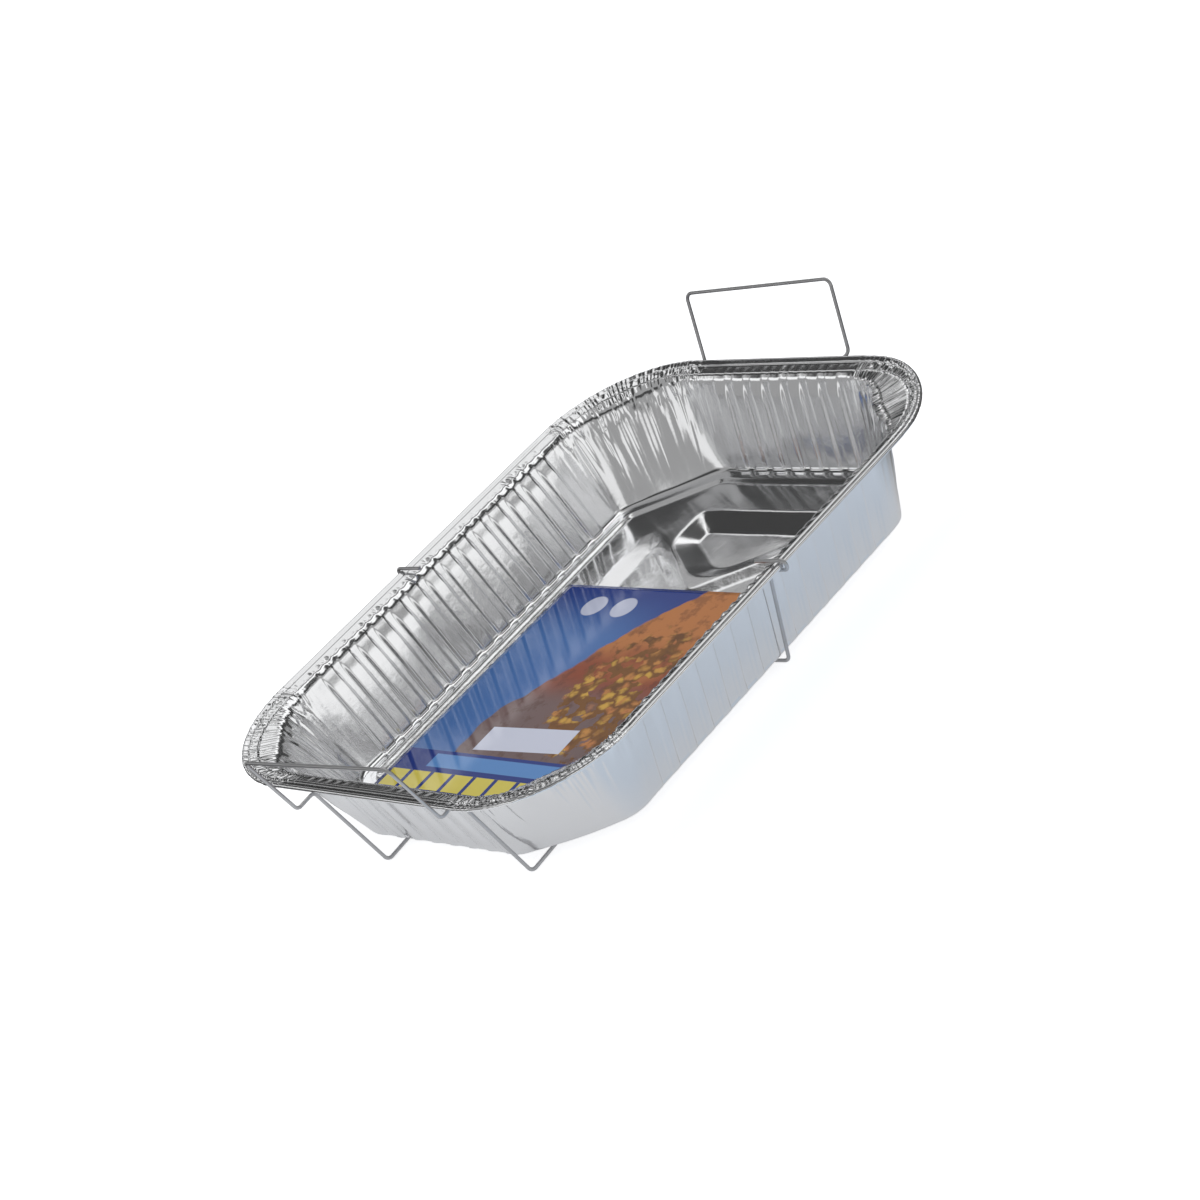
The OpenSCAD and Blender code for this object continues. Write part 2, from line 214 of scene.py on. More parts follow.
@dataclass(frozen=True)
class Outline:
    """Oblong seen from above, with a cut and rounded corner in each quadrant.

    Attributes:
        half_l: Half its length.
        half_w: Half its width.
        cut_x: Length cut off each long side at a corner.
        cut_y: Length cut off each end at a corner.
        radius: Radius of the two bends of a corner.
    """

    half_l: float
    half_w: float
    cut_x: float
    cut_y: float
    radius: float

    def mixed(self, other: "Outline", share: float) -> "Outline":
        """Outline a share of the way from this one to another.

        Args:
            other: The outline at share 1.
            share: From 0 to 1.

        Returns:
            The outline between.
        """
        def mix(a: float, b: float) -> float:
            """Value a share of the way from a to b."""
            return a + (b - a) * share

        return Outline(mix(self.half_l, other.half_l), mix(self.half_w, other.half_w),
                       mix(self.cut_x, other.cut_x), mix(self.cut_y, other.cut_y),
                       mix(self.radius, other.radius))

    def inset(self, distance: float) -> "Outline":
        """Outline moved in by a distance, keeping the direction of its cut corners.

        Args:
            distance: How far in, in metres.

        Returns:
            The smaller outline.
        """
        turn = math.atan2(self.cut_x, self.cut_y)
        first = math.tan(turn / 2.0)
        second = math.tan((math.pi / 2.0 - turn) / 2.0)
        return Outline(self.half_l - distance, self.half_w - distance, self.cut_x - distance * (1.0 - second),
                       self.cut_y - distance * (1.0 - first), max(self.radius - distance, LEAST_RADIUS))

    def corner(self, end_y: float, long_x: float) -> tuple[np.ndarray, np.ndarray]:
        """Path round the first-quadrant corner, with the straight stretches beside it.

        Args:
            end_y: Where the path leaves the end wall.
            long_x: Where the path reaches the long wall.

        Returns:
            Points (n, 2) and the outward direction's angle at each.
        """
        turn = math.atan2(self.cut_x, self.cut_y)
        rest = math.pi / 2.0 - turn
        r = self.radius
        first = np.array([self.half_l - r, self.half_w - self.cut_y - r * math.tan(turn / 2.0)])
        second = np.array([self.half_l - self.cut_x - r * math.tan(rest / 2.0), self.half_w - r])
        a = np.linspace(0.0, turn, BEND_STEPS)
        b = np.linspace(turn, math.pi / 2.0, BEND_STEPS)
        points = np.concatenate([
            [[self.half_l, end_y]],
            first + r * np.stack([np.cos(a), np.sin(a)], axis=1),
            second + r * np.stack([np.cos(b), np.sin(b)], axis=1),
            [[long_x, self.half_w]]])
        return points, np.concatenate([[0.0], a, b, [math.pi / 2.0]])

    def half_length_at(self, y: np.ndarray) -> np.ndarray:
        """Half the outline's length at each y: the corner path read across.

        Args:
            y: Places across, within the outline's width.

        Returns:
            Half lengths.
        """
        points, _ = self.corner(0.0, 0.0)
        edge = points[:-1]
        return np.interp(np.abs(y), edge[:, 1], edge[:, 0])


@dataclass
class Columns:
    """Lines that run up the foil from the floor to the rolled edge, in order round the pan.

    The straight walls have columns at fixed places along them, gathered at the bends of the flutes, and
    each corner has columns at even shares of its own length at that height. The sectors run round the
    pan: even ones are walls, with the ends at 0 and 4, and odd ones are corners.

    Attributes:
        pitch: Distance between the middles of two flutes.
        half_front: Half the width of a flute's front.
        side: Width of a flute's slanted side.
        long_flutes: Number of flutes in a long wall.
        end_flutes: Number of flutes in an end wall.
        corner_columns: Number of columns in a corner.
        local: Places of the columns round a flute's middle, in millimetres.
        long_x: Places of the columns along a long wall.
        end_y: Places of the columns along an end wall.
        shares: Places of the columns in a corner, as shares of its length.
        sector: Sector of each column.
        place: Place of each column in its sector, in metres on a wall and as a share in a corner.
        count: Number of columns.
    """

    pitch: float = 17.0 * MM
    half_front: float = 4.0 * MM
    side: float = 2.6 * MM
    long_flutes: int = 14
    end_flutes: int = 7
    corner_columns: int = 174
    local: tuple[float, ...] = (-8.5, -7.3, -6.6, -6.1, -5.6, -5.1, -4.6, -4.0, -3.0, -1.2,
                                1.2, 3.0, 4.0, 4.6, 5.1, 5.6, 6.1, 6.6, 7.3)
    long_x: np.ndarray = field(init=False)
    end_y: np.ndarray = field(init=False)
    shares: np.ndarray = field(init=False)
    sector: np.ndarray = field(init=False)
    place: np.ndarray = field(init=False)
    count: int = field(init=False)

    def __post_init__(self) -> None:
        """Works out where every column stands."""
        self.long_x = self._wall(self.long_flutes)
        self.end_y = self._wall(self.end_flutes)
        self.shares = np.linspace(0.0, 1.0, self.corner_columns + 2)[1:-1]
        stretches = [self.end_y, self.shares, -self.long_x, 1.0 - self.shares]
        self.place = np.concatenate([s for _ in range(2) for s in stretches])
        self.sector = np.concatenate([np.full(len(s), i + 4 * half) for half in range(2)
                                      for i, s in enumerate(stretches)])
        self.count = len(self.place)

    def _wall(self, flutes: int) -> np.ndarray:
        """Places of the columns along a wall, symmetric about its middle.

        Returns:
            Places, in metres.
        """
        middles = (np.arange(flutes) - (flutes - 1) / 2.0) * self.pitch
        places = (middles[:, None] + np.array(self.local) * MM).ravel()
        return np.append(places, -places[0])

    def ring(self, outline: Outline) -> tuple[np.ndarray, np.ndarray]:
        """Point and outward direction of every column on an outline.

        The corner's columns share out its length evenly, and the four quadrants mirror one another.

        Args:
            outline: The outline at this height.

        Returns:
            Points and directions, each (count, 2).
        """
        path, angle = outline.corner(self.end_y[-1], self.long_x[-1])
        run = np.concatenate([[0.0], np.cumsum(np.linalg.norm(np.diff(path, axis=0), axis=1))])
        at = self.shares * run[-1]
        corner = np.stack([np.interp(at, run, path[:, 0]), np.interp(at, run, path[:, 1])], axis=1)
        facing = np.interp(at, run, angle)
        corner_out = np.stack([np.cos(facing), np.sin(facing)], axis=1)
        end = np.stack([np.full(len(self.end_y), outline.half_l), self.end_y], axis=1)
        end_out = np.broadcast_to([1.0, 0.0], end.shape)
        long = np.stack([self.long_x[::-1], np.full(len(self.long_x), outline.half_w)], axis=1)
        long_out = np.broadcast_to([0.0, 1.0], long.shape)
        flip = np.array([-1.0, 1.0])
        points = [end, corner, long, corner[::-1] * flip]
        outs = [end_out, corner_out, long_out, corner_out[::-1] * flip]
        return (np.concatenate(points + [-p for p in points]), np.concatenate(outs + [-o for o in outs]))

    def running_length(self, outline: Outline) -> np.ndarray:
        """Length along an outline from the first column to each column.

        Args:
            outline: The outline that is walked.

        Returns:
            Lengths, in metres.
        """
        points, _ = self.ring(outline)
        steps = np.linalg.norm(np.diff(points, axis=0), axis=1)
        return np.concatenate([[0.0], np.cumsum(steps)])

    def in_corner(self, fade: float) -> np.ndarray:
        """Share from 0 on the straight walls to 1 inside the corners.

        Args:
            fade: Share of the corner's length over which it grows.

        Returns:
            One share for each column.
        """
        corner = self.sector % 2 == 1
        edge = np.minimum(self.place, 1.0 - self.place)
        return np.where(corner, smooth(0.0, fade, edge), 0.0)

    def flute(self) -> np.ndarray:
        """How far each column stands on a flute, from 0 between flutes to 1 on a flute's front.

        Returns:
            Shares, one for each column.
        """
        wall = self.sector % 2 == 0
        flutes = np.where(self.sector % 4 == 0, self.end_flutes, self.long_flutes)
        along = self.place / self.pitch + flutes / 2.0
        local = (along - np.clip(np.floor(along), 0, flutes - 1) - 0.5) * self.pitch
        front = 1.0 - smooth(self.half_front, self.half_front + self.side, np.abs(local))
        return np.where(wall, front, 0.0)


@dataclass(frozen=True)
class Row:
    """One ring of the foil: an outline at a height, and how strongly each relief shows there.

    Attributes:
        outline: Plain outline of the ring.
        z: Its height.
        flute: Share of the flutes' depth.
        gather: Share of the depth of the corners' folds.
        crimp: Share of the height of the corners' crimps.
        rib: Share of the height of the ribs across the flange.
        lean: Share of the uneven lean of the walls' flats.
        rim: Share of the way over the flange, which places the rim's handling marks, or 0 for none.
        bent: Share of the walls' handling marks.
        tip: Height added on the long sides.
    """

    outline: Outline
    z: float
    flute: float = 0.0
    gather: float = 0.0
    crimp: float = 0.0
    rib: float = 0.0
    lean: float = 0.0
    rim: float = 0.0
    bent: float = 0.0
    tip: float = 0.0


@dataclass(frozen=True)
class Folds:
    """Gathered folds of the corners: sharp ridges of uneven width that die out on the way down.

    Each fold is exp(-(distance / width)^2) round its own wavering place, times its own depth, which
    swells and sinks on the way down, and the share of its length that is left there. A pair of numbers
    is the range of a random draw.

    Attributes:
        seed: Seed of the random draws.
        pitch: Mean distance between two folds.
        stray: How far a fold stands from its even place, in millimetres.
        width: Its width, in millimetres.
        depth: Its depth, as a share.
        inward: Share of the folds that are pressed in; the others stand out.
        reach: How far down it goes, as a share of the wall's height.
        fading: Where on its length it starts to die out, as a share.
        slant: Its drift sideways, as a share of the way down.
        period: Length of its waver, in millimetres.
        waver: Size of its waver.
        swelling: Share of its depth that swells and sinks.
        swell_period: Length of that, as a share of the waver's length.
    """

    seed: int = 11
    pitch: float = 2.5 * MM
    stray: tuple[float, float] = (-1.2, 1.2)
    width: tuple[float, float] = (0.8, 2.2)
    depth: tuple[float, float] = (0.15, 0.80)
    inward: float = 0.6
    reach: tuple[float, float] = (0.30, 1.05)
    fading: float = 0.35
    slant: tuple[float, float] = (-0.22, 0.22)
    period: tuple[float, float] = (10.0, 26.0)
    waver: float = 0.7 * MM
    swelling: float = 0.38
    swell_period: float = 0.8

    def at(self, run: np.ndarray, down: float, height: float) -> np.ndarray:
        """Depth of the folds at each column of one row.

        Args:
            run: Length along the rim from the first column to each column.
            down: Distance of the row below the wall's top.
            height: Height of the wall.

        Returns:
            Depths, about -1 to 1.
        """
        rng = np.random.default_rng(self.seed)
        count = int(math.ceil(run[-1] / self.pitch))
        middle = np.arange(0.0, run[-1], self.pitch) + rng.uniform(*self.stray, count) * MM
        width = rng.uniform(*self.width, count) * MM
        depth = rng.uniform(*self.depth, count) * np.where(rng.random(count) < self.inward, 1.0, -1.0)
        reach = rng.uniform(*self.reach, count) * height
        slant = rng.uniform(*self.slant, count)
        period = rng.uniform(*self.period, count) * MM
        phase = rng.uniform(0.0, 2.0 * math.pi, (2, count))
        live = 1.0 - smooth(self.fading, 1.0, np.maximum(down, 0.0) / reach)
        waver = self.waver * np.sin(2.0 * math.pi * down / period + phase[0])
        swell = np.sin(2.0 * math.pi * down / (self.swell_period * period) + phase[1])
        left = (1.0 - self.swelling) + self.swelling * swell
        away = run[:, None] - (middle + slant * down + waver)
        return (np.exp(-(away / width) ** 2) * depth * left * live).sum(axis=1)


@dataclass(frozen=True)
class Crimps:
    """Fine radial crimps where the flange turns a corner: a wave of uneven pitch, and small dents.

    Attributes:
        pitch: Mean distance between two crests.
        drift: Slow waves that move the crests.
        drift_size: How far they move them, as a share of the pitch.
        swell: Waves that make the crests uneven.
        swell_size: Their share of the crests' height.
        mean: Mean share of that height.
        wave_size: Height of the crests.
        dents: The dents.
        dent_size: Their height.
    """

    pitch: float = 3.3 * MM
    drift: Waves = Waves(5, 18.0 * MM, 70.0 * MM, 10)
    drift_size: float = 0.35
    swell: Waves = Waves(6, 6.0 * MM, 25.0 * MM, 12)
    swell_size: float = 0.3
    mean: float = 0.75
    wave_size: float = 0.75
    dents: Waves = Waves(14, 3.0 * MM, 8.0 * MM, 40)
    dent_size: float = 0.45

    def at(self, run: np.ndarray, inset: float) -> np.ndarray:
        """Height at each column of one row.

        Args:
            run: Length along the rim from the first column to each column.
            inset: Distance of the row in from the rolled edge.

        Returns:
            Heights, about -1 to 1.
        """
        crests = run / self.pitch + self.drift_size * self.drift.at(run, run * 0.0)
        wave = np.sin(2.0 * math.pi * crests)
        uneven = self.mean + self.swell_size * self.swell.at(run, run * 0.0)
        dents = self.dents.at(run, np.full(len(run), inset))
        return self.wave_size * wave * uneven + self.dent_size * dents


@dataclass
class FoilShell:
    """Walls and rim of the pan, pressed from one sheet. Steps and profiles are in millimetres.

    Attributes:
        rim: Outline of the rolled edge.
        rim_h: Height of the rim's top.
        base: Outline of the wall's foot.
        top_cut_x: Length cut off each long side at a corner of the wall's top.
        top_cut_y: Length cut off each end there.
        top_radius: Radius of the bends there.
        corner_fade: Share of a corner's length over which its reliefs grow.
        foil_t: Thickness of the sheet.
        ledge_z: Height of the ledge round the floor.
        ledge_w: Width of the ledge.
        ledge_tip: How far the ledge of the long sides is tipped.
        slope_w: Width of the slope from the floor up to the ledge.
        slope_h: Height of that slope.
        slope_ease: Half the rounded length at each end of the slope, as a share of it.
        slope_steps: Places of its rows, as shares of it.
        ledge_steps: Inset and share of the tip of each row on the ledge.
        foot_steps: Inset, height, share of the flutes and share of the tip of each row of the foot.
        foot_heights: Heights of the rows where the flutes deepen.
        flute_d: Depth of the flutes.
        flute_foot: Share of that depth at the foot.
        flute_rise: Height over which they deepen.
        flute_top: Share of the flutes' depth that is left at the wall's top.
        fade_h: Height over which they fade to that.
        fade_steps: Places of the rows there, as shares of that height.
        plain_rows: Number of rows between the foot and the fade.
        panel_lean: Most that the flats lean.
        lean_seed: Seed of the random lean of each.
        bulge: Waves of the walls.
        bulge_d: Their depth.
        folds: Folds of the corners.
        gather_d: Depth of the corners' folds.
        gather_rise: Height over which the folds start above the ledge.
        wall_inset: Distance from the rolled edge in to the wall's top.
        lip_drop: Depth of the wall's top below the flange.
        lip_steps: Places of the rows between the wall's top and the lip, as shares.
        shoulder_drop: Depth of the lip below the flange.
        flange_w: Width of the flange.
        flange_drop: Depth of the flange below the rim's top.
        flange_profile: Inset from the rolled edge and drop below the flange of each row on it.
        rib_h: Height of the ribs across the flange.
        rib_mean: Mean share of that height.
        rib_waves: Waves that make the ribs uneven.
        rib_spread: Their share of it.
        rib_ends: Share of it that is left at the ends.
        crimps: Crimps of the corners.
        crimp_h: Height of the corners' crimps.
        curl_r: Radius of the rolled edge.
        curl_angles: Places of the rows round the rolled edge, in degrees from its outer side up.
        hem_in: Inset of the sheet's own edge, rolled back under the flange.
        far_edge_in: How far out the rolled edge of the far-right corner is; it is pushed in.
        far_wall_in: How far out the top of that corner's wall is; it is pushed in.
        far_foot: Share of that at the wall's foot.
        near_lip_out: How far out the lip of the near-left corner is.
        near_foot_out: How far out the foot of the near-right corner is.
        columns: Lines that run up the sheet.
    """

    rim: Outline
    rim_h: float = 76.2 * MM
    base: Outline = Outline(half_l=185.5 * MM, half_w=129.5 * MM, cut_x=46.0 * MM, cut_y=62.0 * MM,
                            radius=20.0 * MM)
    top_cut_x: float = 50.0 * MM
    top_cut_y: float = 45.0 * MM
    top_radius: float = 45.0 * MM
    corner_fade: float = 0.16
    foil_t: float = 0.18 * MM
    ledge_z: float = 8.9 * MM
    ledge_w: float = 9.0 * MM
    ledge_tip: float = 0.8 * MM
    slope_w: float = 4.0 * MM
    slope_h: float = 1.5 * MM
    slope_ease: float = 0.14
    slope_steps: tuple[float, ...] = (-0.14, 0.0, 0.14, 0.5, 0.86, 1.0, 1.14)
    ledge_steps: tuple[tuple[float, float], ...] = ((5.0, 0.1), (3.0, -0.3))
    foot_steps: tuple[tuple[float, float, float, float], ...] = (
        (2.0, 0.15, 0.03, -0.3), (0.7, 0.9, 0.22, -0.1), (0.2, 1.5, 0.45, 0.0))
    foot_heights: tuple[float, ...] = (2.4, 3.4, 4.8, 6.4, 8.2)
    flute_d: float = 2.1 * MM
    flute_foot: float = 0.8
    flute_rise: float = 10.0 * MM
    flute_top: float = 0.15
    fade_h: float = 12.0 * MM
    fade_steps: tuple[float, ...] = (0.15, 0.3, 0.45, 0.6, 0.75, 0.9)
    plain_rows: int = 5
    panel_lean: float = 0.16 * MM
    lean_seed: int = 3
    bulge: Waves = Waves(8, 30.0 * MM, 120.0 * MM, 16)
    bulge_d: float = 0.22 * MM
    folds: Folds = Folds()
    gather_d: float = 1.5 * MM
    gather_rise: float = 12.0 * MM
    wall_inset: float = 17.0 * MM
    lip_drop: float = 5.2 * MM
    lip_steps: tuple[float, ...] = (0.12, 0.4, 0.7, 0.92)
    shoulder_drop: float = 2.0 * MM
    flange_w: float = 14.0 * MM
    flange_drop: float = 0.7 * MM
    flange_profile: tuple[tuple[float, float], ...] = (
        (13.6, 1.93), (12.4, 1.62), (10.8, 1.20), (9.4, 0.84), (8.4, 0.60), (7.9, 0.48), (7.4, 0.27),
        (6.9, 0.20), (6.4, 0.30), (5.9, 0.52), (5.3, 0.46), (4.5, 0.26), (3.9, 0.08))
    rib_h: float = 0.42 * MM
    rib_mean: float = 0.9
    rib_waves: Waves = Waves(9, 20.0 * MM, 60.0 * MM, 10)
    rib_spread: float = 0.35
    rib_ends: float = 0.3
    crimps: Crimps = Crimps()
    crimp_h: float = 0.42 * MM
    curl_r: float = 1.5 * MM
    curl_angles: tuple[float, ...] = (112.0, 88.0, 62.0, 36.0, 10.0, -16.0, -42.0, -70.0, -100.0, -130.0)
    hem_in: float = 4.2 * MM
    far_edge_in: float = -5.5 * MM
    far_wall_in: float = -13.0 * MM
    far_foot: float = 0.46
    near_lip_out: float = 3.5 * MM
    near_foot_out: float = 4.0 * MM
    columns: Columns = field(default_factory=Columns)

    def __post_init__(self) -> None:
        """Works out the outlines and the reliefs that every row uses."""
        self.top = Outline(self.rim.half_l - self.wall_inset, self.rim.half_w - self.wall_inset,
                           self.top_cut_x, self.top_cut_y, self.top_radius)
        self.flange_z = self.rim_h - self.flange_drop
        self.wall_top_z = self.flange_z - self.lip_drop
        self.floor_z = self.ledge_z - self.slope_h
        self.run = self.columns.running_length(self.rim)
        self.corner = self.columns.in_corner(self.corner_fade)
        self.flute = self.columns.flute()
        corner = self.columns.sector % 2 == 1
        long_wall = self.columns.sector % 4 == 2
        self.long_side = np.where(corner, smooth(0.7, 1.0, self.columns.place), long_wall)
        self.swell = np.where(corner, np.sin(math.pi * self.columns.place) ** 2, 0.0)

    def rim_at(self, inset: float) -> Outline:
        """Outline of the rim moved in, with truly round corners.

        Args:
            inset: Distance in from the rolled edge.

        Returns:
            The outline.
        """
        r = self.rim.radius - inset
        cut = r * (2.0 - math.sqrt(2.0))
        return Outline(self.rim.half_l - inset, self.rim.half_w - inset, cut, cut, r)

    def wall_at(self, z: float) -> Outline:
        """Outline of the plain wall at a height.

        Args:
            z: The height.

        Returns:
            The outline.
        """
        return self.base.mixed(self.top, (z - self.ledge_z) / (self.wall_top_z - self.ledge_z))

    def ribs(self) -> np.ndarray:
        """Ribs across the flange, two to a flute: a wave on the long sides and a weaker one at the ends.

        Returns:
            Heights, one for each column, about -1 to 1.
        """
        wave = np.sin(2.0 * math.pi * self.columns.place / (self.columns.pitch / 2.0))
        uneven = self.rib_mean + self.rib_spread * self.rib_waves.at(self.run, self.run * 0.0)
        side = np.where(self.columns.sector % 4 == 2, 1.0, self.rib_ends)
        return np.where(self.columns.sector % 2 == 0, wave * uneven * side, 0.0)

    def bent_corners(self, rim: float) -> np.ndarray:
        """Handling marks of the rim: two corners are out of true, one at its edge and one at its lip.

        Each is its own depth times sin(pi * share of the corner)^2, times how near the row is to that part.

        Args:
            rim: Share of the way over the flange, from 0 at the lip to 1 at the rolled edge.

        Returns:
            Distance outwards at each column.
        """
        edge = np.where(self.columns.sector == 7, self.far_edge_in * rim, 0.0)
        lip = np.where(self.columns.sector == 3, self.near_lip_out * (1.0 - rim), 0.0)
        return self.swell * (edge + lip)

    def bent_walls(self, z: float) -> np.ndarray:
        """Handling marks of the walls: one far corner is pushed in, and the foot of one near corner out.

        Args:
            z: Height on the wall.

        Returns:
            Distance outwards at each column.
        """
        up = float(np.clip((z - self.ledge_z) / (self.wall_top_z - self.ledge_z), 0.0, 1.0))
        share = self.far_foot + (1.0 - self.far_foot) * up
        far = np.where(self.columns.sector == 7, self.far_wall_in * share, 0.0)
        near = np.where(self.columns.sector == 5, self.near_foot_out * (1.0 - up), 0.0)
        return self.swell * (far + near)

    def panels(self, z: float) -> np.ndarray:
        """Slight lean of each flat of the fluted walls, so that no two catch the light alike.

        Args:
            z: The height.

        Returns:
            Distance outwards at each column.
        """
        half = self.columns.pitch / 2.0
        along = self.columns.place / half + 0.5
        number = np.floor(along).astype(int)
        leans = np.random.default_rng(self.lean_seed).uniform(-1.0, 1.0, 256)
        lean = leans[(number + 37 * self.columns.sector) % len(leans)]
        wall = self.columns.sector % 2 == 0
        tilt = np.where(wall, lean * (along - number - 0.5) * self.panel_lean, 0.0)
        return tilt + self.bulge_d * self.bulge.at(self.run, np.full(self.columns.count, z))

    def ring(self, row: Row) -> np.ndarray:
        """Points of one row: the plain outline plus all the reliefs at their strength there.

        Args:
            row: The row.

        Returns:
            Points (count, 3).
        """
        points, out = self.columns.ring(row.outline)
        push = -self.flute_d * row.flute * self.flute
        if row.gather:
            folds = self.folds.at(self.run, self.wall_top_z - row.z, self.wall_top_z - self.ledge_z)
            push = push - self.gather_d * row.gather * folds * self.corner
        if row.lean:
            push = push + row.lean * self.panels(row.z)
        if row.rim:
            push = push + self.bent_corners(row.rim)
        if row.bent:
            push = push + row.bent * self.bent_walls(row.z)
        z = np.full(self.columns.count, row.z)
        if row.crimp:
            crimps = self.crimps.at(self.run, self.rim.half_l - row.outline.half_l)
            z = z + self.crimp_h * row.crimp * (crimps * self.corner)
        if row.rib:
            z = z + self.rib_h * row.rib * self.ribs()
        if row.tip:
            z = z + row.tip * self.long_side
        return np.column_stack([points + out * push[:, None], z])

    def wall_rows(self) -> list[Row]:
        """Rows from the edge of the floor over the ledge, up the wall and over the lip.

        Returns:
            The rows of the walls' piece.
        """
        lip = self.flange_rows()[0]
        return self.ledge_rows() + self.foot_rows() + self.fluted_rows() + self.lip_rows() + [lip]

    def ledge_rows(self) -> list[Row]:
        """Rows up the slope beside the floor and over the ledge.

        Returns:
            The rows, from the floor outwards.
        """
        rows = []
        for step in self.slope_steps:
            up = float(eased_ramp(np.array(step), self.slope_ease))
            inset = self.ledge_w + self.slope_w * (1.0 - step)
            rows.append(Row(self.base.inset(inset), self.floor_z + self.slope_h * up,
                            tip=self.ledge_tip * up))
        for inset, tip in self.ledge_steps:
            rows.append(Row(self.base.inset(inset * MM), self.ledge_z, bent=self.foot_bend(inset),
                            tip=self.ledge_tip * tip))
        return rows

    def foot_rows(self) -> list[Row]:
        """Rows of the foot: the flats start with a small slanted face, and the flutes' fronts stand in it.

        Returns:
            The rows, from the ledge up.
        """
        rows = []
        for inset, h, flute, tip in self.foot_steps:
            z = self.ledge_z + h * MM
            rows.append(Row(self.wall_at(z).inset(inset * MM), z, flute, lean=0.05 * h,
                            bent=self.foot_bend(inset), tip=self.ledge_tip * tip))
        return rows

    @staticmethod
    def foot_bend(inset: float) -> float:
        """Share of the walls' handling marks on the ledge, which falls to 0 at its inner side.

        Args:
            inset: Distance in from the foot of the wall, in millimetres.

        Returns:
            The share.
        """
        return 1.0 - 0.11 * inset

    def fluted_rows(self) -> list[Row]:
        """Rows of the fluted wall, whose flutes deepen above the foot and fade below the lip.

        Returns:
            The rows, from the foot up.
        """
        rows = [self.wall_row(self.ledge_z + h * MM, h * MM / self.gather_rise) for h in self.foot_heights]
        fade = self.wall_top_z - self.fade_h
        plain = np.linspace(self.ledge_z + self.gather_rise, fade, self.plain_rows)
        rows += [self.wall_row(z, 1.0) for z in plain]
        for step in self.fade_steps:
            z = fade + self.fade_h * step
            left = 1.0 - (1.0 - self.flute_top) * float(smooth(0.0, 1.0, np.array(step)))
            rows.append(Row(self.wall_at(z), z, left, gather=1.0, lean=1.0 - 0.5 * step, bent=1.0))
        return rows

    def wall_row(self, z: float, gather: float) -> Row:
        """Row of the fluted wall, whose flutes deepen above the foot.

        Args:
            z: Its height.
            gather: Strength of the corners' folds.

        Returns:
            The row.
        """
        deep = float(smooth(0.0, self.flute_rise, np.array(z - self.ledge_z)))
        return Row(self.wall_at(z), z, self.flute_foot + (1.0 - self.flute_foot) * deep,
                   gather=gather, lean=min(1.0, gather + 0.3), bent=1.0)

    def lip_rows(self) -> list[Row]:
        """Rows from the wall's top to the lip, where every relief of the wall gives way to the flange's.

        The place for the rim's handling marks stays just above 0, so that the row takes part in them.

        Returns:
            The rows, from the wall's top to the lip.
        """
        lip = self.rim_at(self.flange_w)
        rise = self.flange_z - self.shoulder_drop - self.wall_top_z
        rows = []
        for step in self.lip_steps:
            left = 1.0 - step
            rows.append(Row(self.top.mixed(lip, step), self.wall_top_z + rise * step, self.flute_top * left,
                            gather=0.85 - 0.6 * step, crimp=0.4 + 0.8 * step, rib=step, lean=0.4 * left,
                            rim=1.0 - 0.98 * step, bent=left))
        return rows

    def flange_rows(self) -> list[Row]:
        """Rows over the flange: a slope down to the lip, a fine bead, and a groove beside the rolled edge.

        Returns:
            The rows, from the lip outwards.
        """
        rows = []
        for inset, drop in self.flange_profile:
            share = inset * MM / self.flange_w
            place = np.array(inset)
            rows.append(Row(self.rim_at(inset * MM), self.flange_z - drop * MM, gather=0.2 * share,
                            crimp=0.55 + 0.45 * float(smooth(3.0, 9.0, place)),
                            rib=float(smooth(7.5, 12.5, place)), rim=1.0 - share + 0.02))
        return rows

    def rim_rows(self) -> list[Row]:
        """Rows from the lip over the flange and round the rolled edge.

        Returns:
            The rows of the rim's piece.
        """
        rows = self.flange_rows()
        curl_z = self.rim_h - self.curl_r
        for angle in np.radians(self.curl_angles):
            inset = self.curl_r * (1.0 - math.cos(angle))
            rows.append(Row(self.rim_at(inset), curl_z + self.curl_r * math.sin(angle),
                            crimp=0.45, gather=0.12, rim=1.0))
        rows.append(Row(self.rim_at(self.hem_in), curl_z - self.curl_r * 0.5, crimp=0.45, rim=1.0))
        return rows

    def floor_edge(self) -> Outline:
        """Outline of the walls' first row, where the floor's piece meets it.

        Returns:
            The outline.
        """
        return self.base.inset(self.ledge_w + self.slope_w * (1.0 - self.slope_steps[0]))

    def piece(self, name: str, rows: list[Row]) -> bpy.types.Object:
        """Makes one band of the sheet and gives it the foil's thickness.

        Args:
            name: Object name.
            rows: The band's rows, from the floor outwards.

        Returns:
            The object.
        """
        points = np.concatenate([self.ring(row) for row in rows])
        made = mesh_object(name, points, grid_faces(len(rows), self.columns.count, True)[:, ::-1])
        thicken(made, self.foil_t)
        return made

    def build(self) -> list[bpy.types.Object]:
        """Makes the walls and the rim.

        Returns:
            The two objects.
        """
        return [self.piece("pan_walls", self.wall_rows()), self.piece("pan_rim", self.rim_rows())]


def thicken(made: bpy.types.Object, thickness: float) -> None:
    """Gives a sheet its thickness on the side away from its faces.

    Args:
        made: The sheet.
        thickness: Its thickness, in metres.
    """
    solid = made.modifiers.new("Thickness", "SOLIDIFY")
    solid.thickness = thickness
    solid.offset = -1.0
    solid.use_even_offset = False


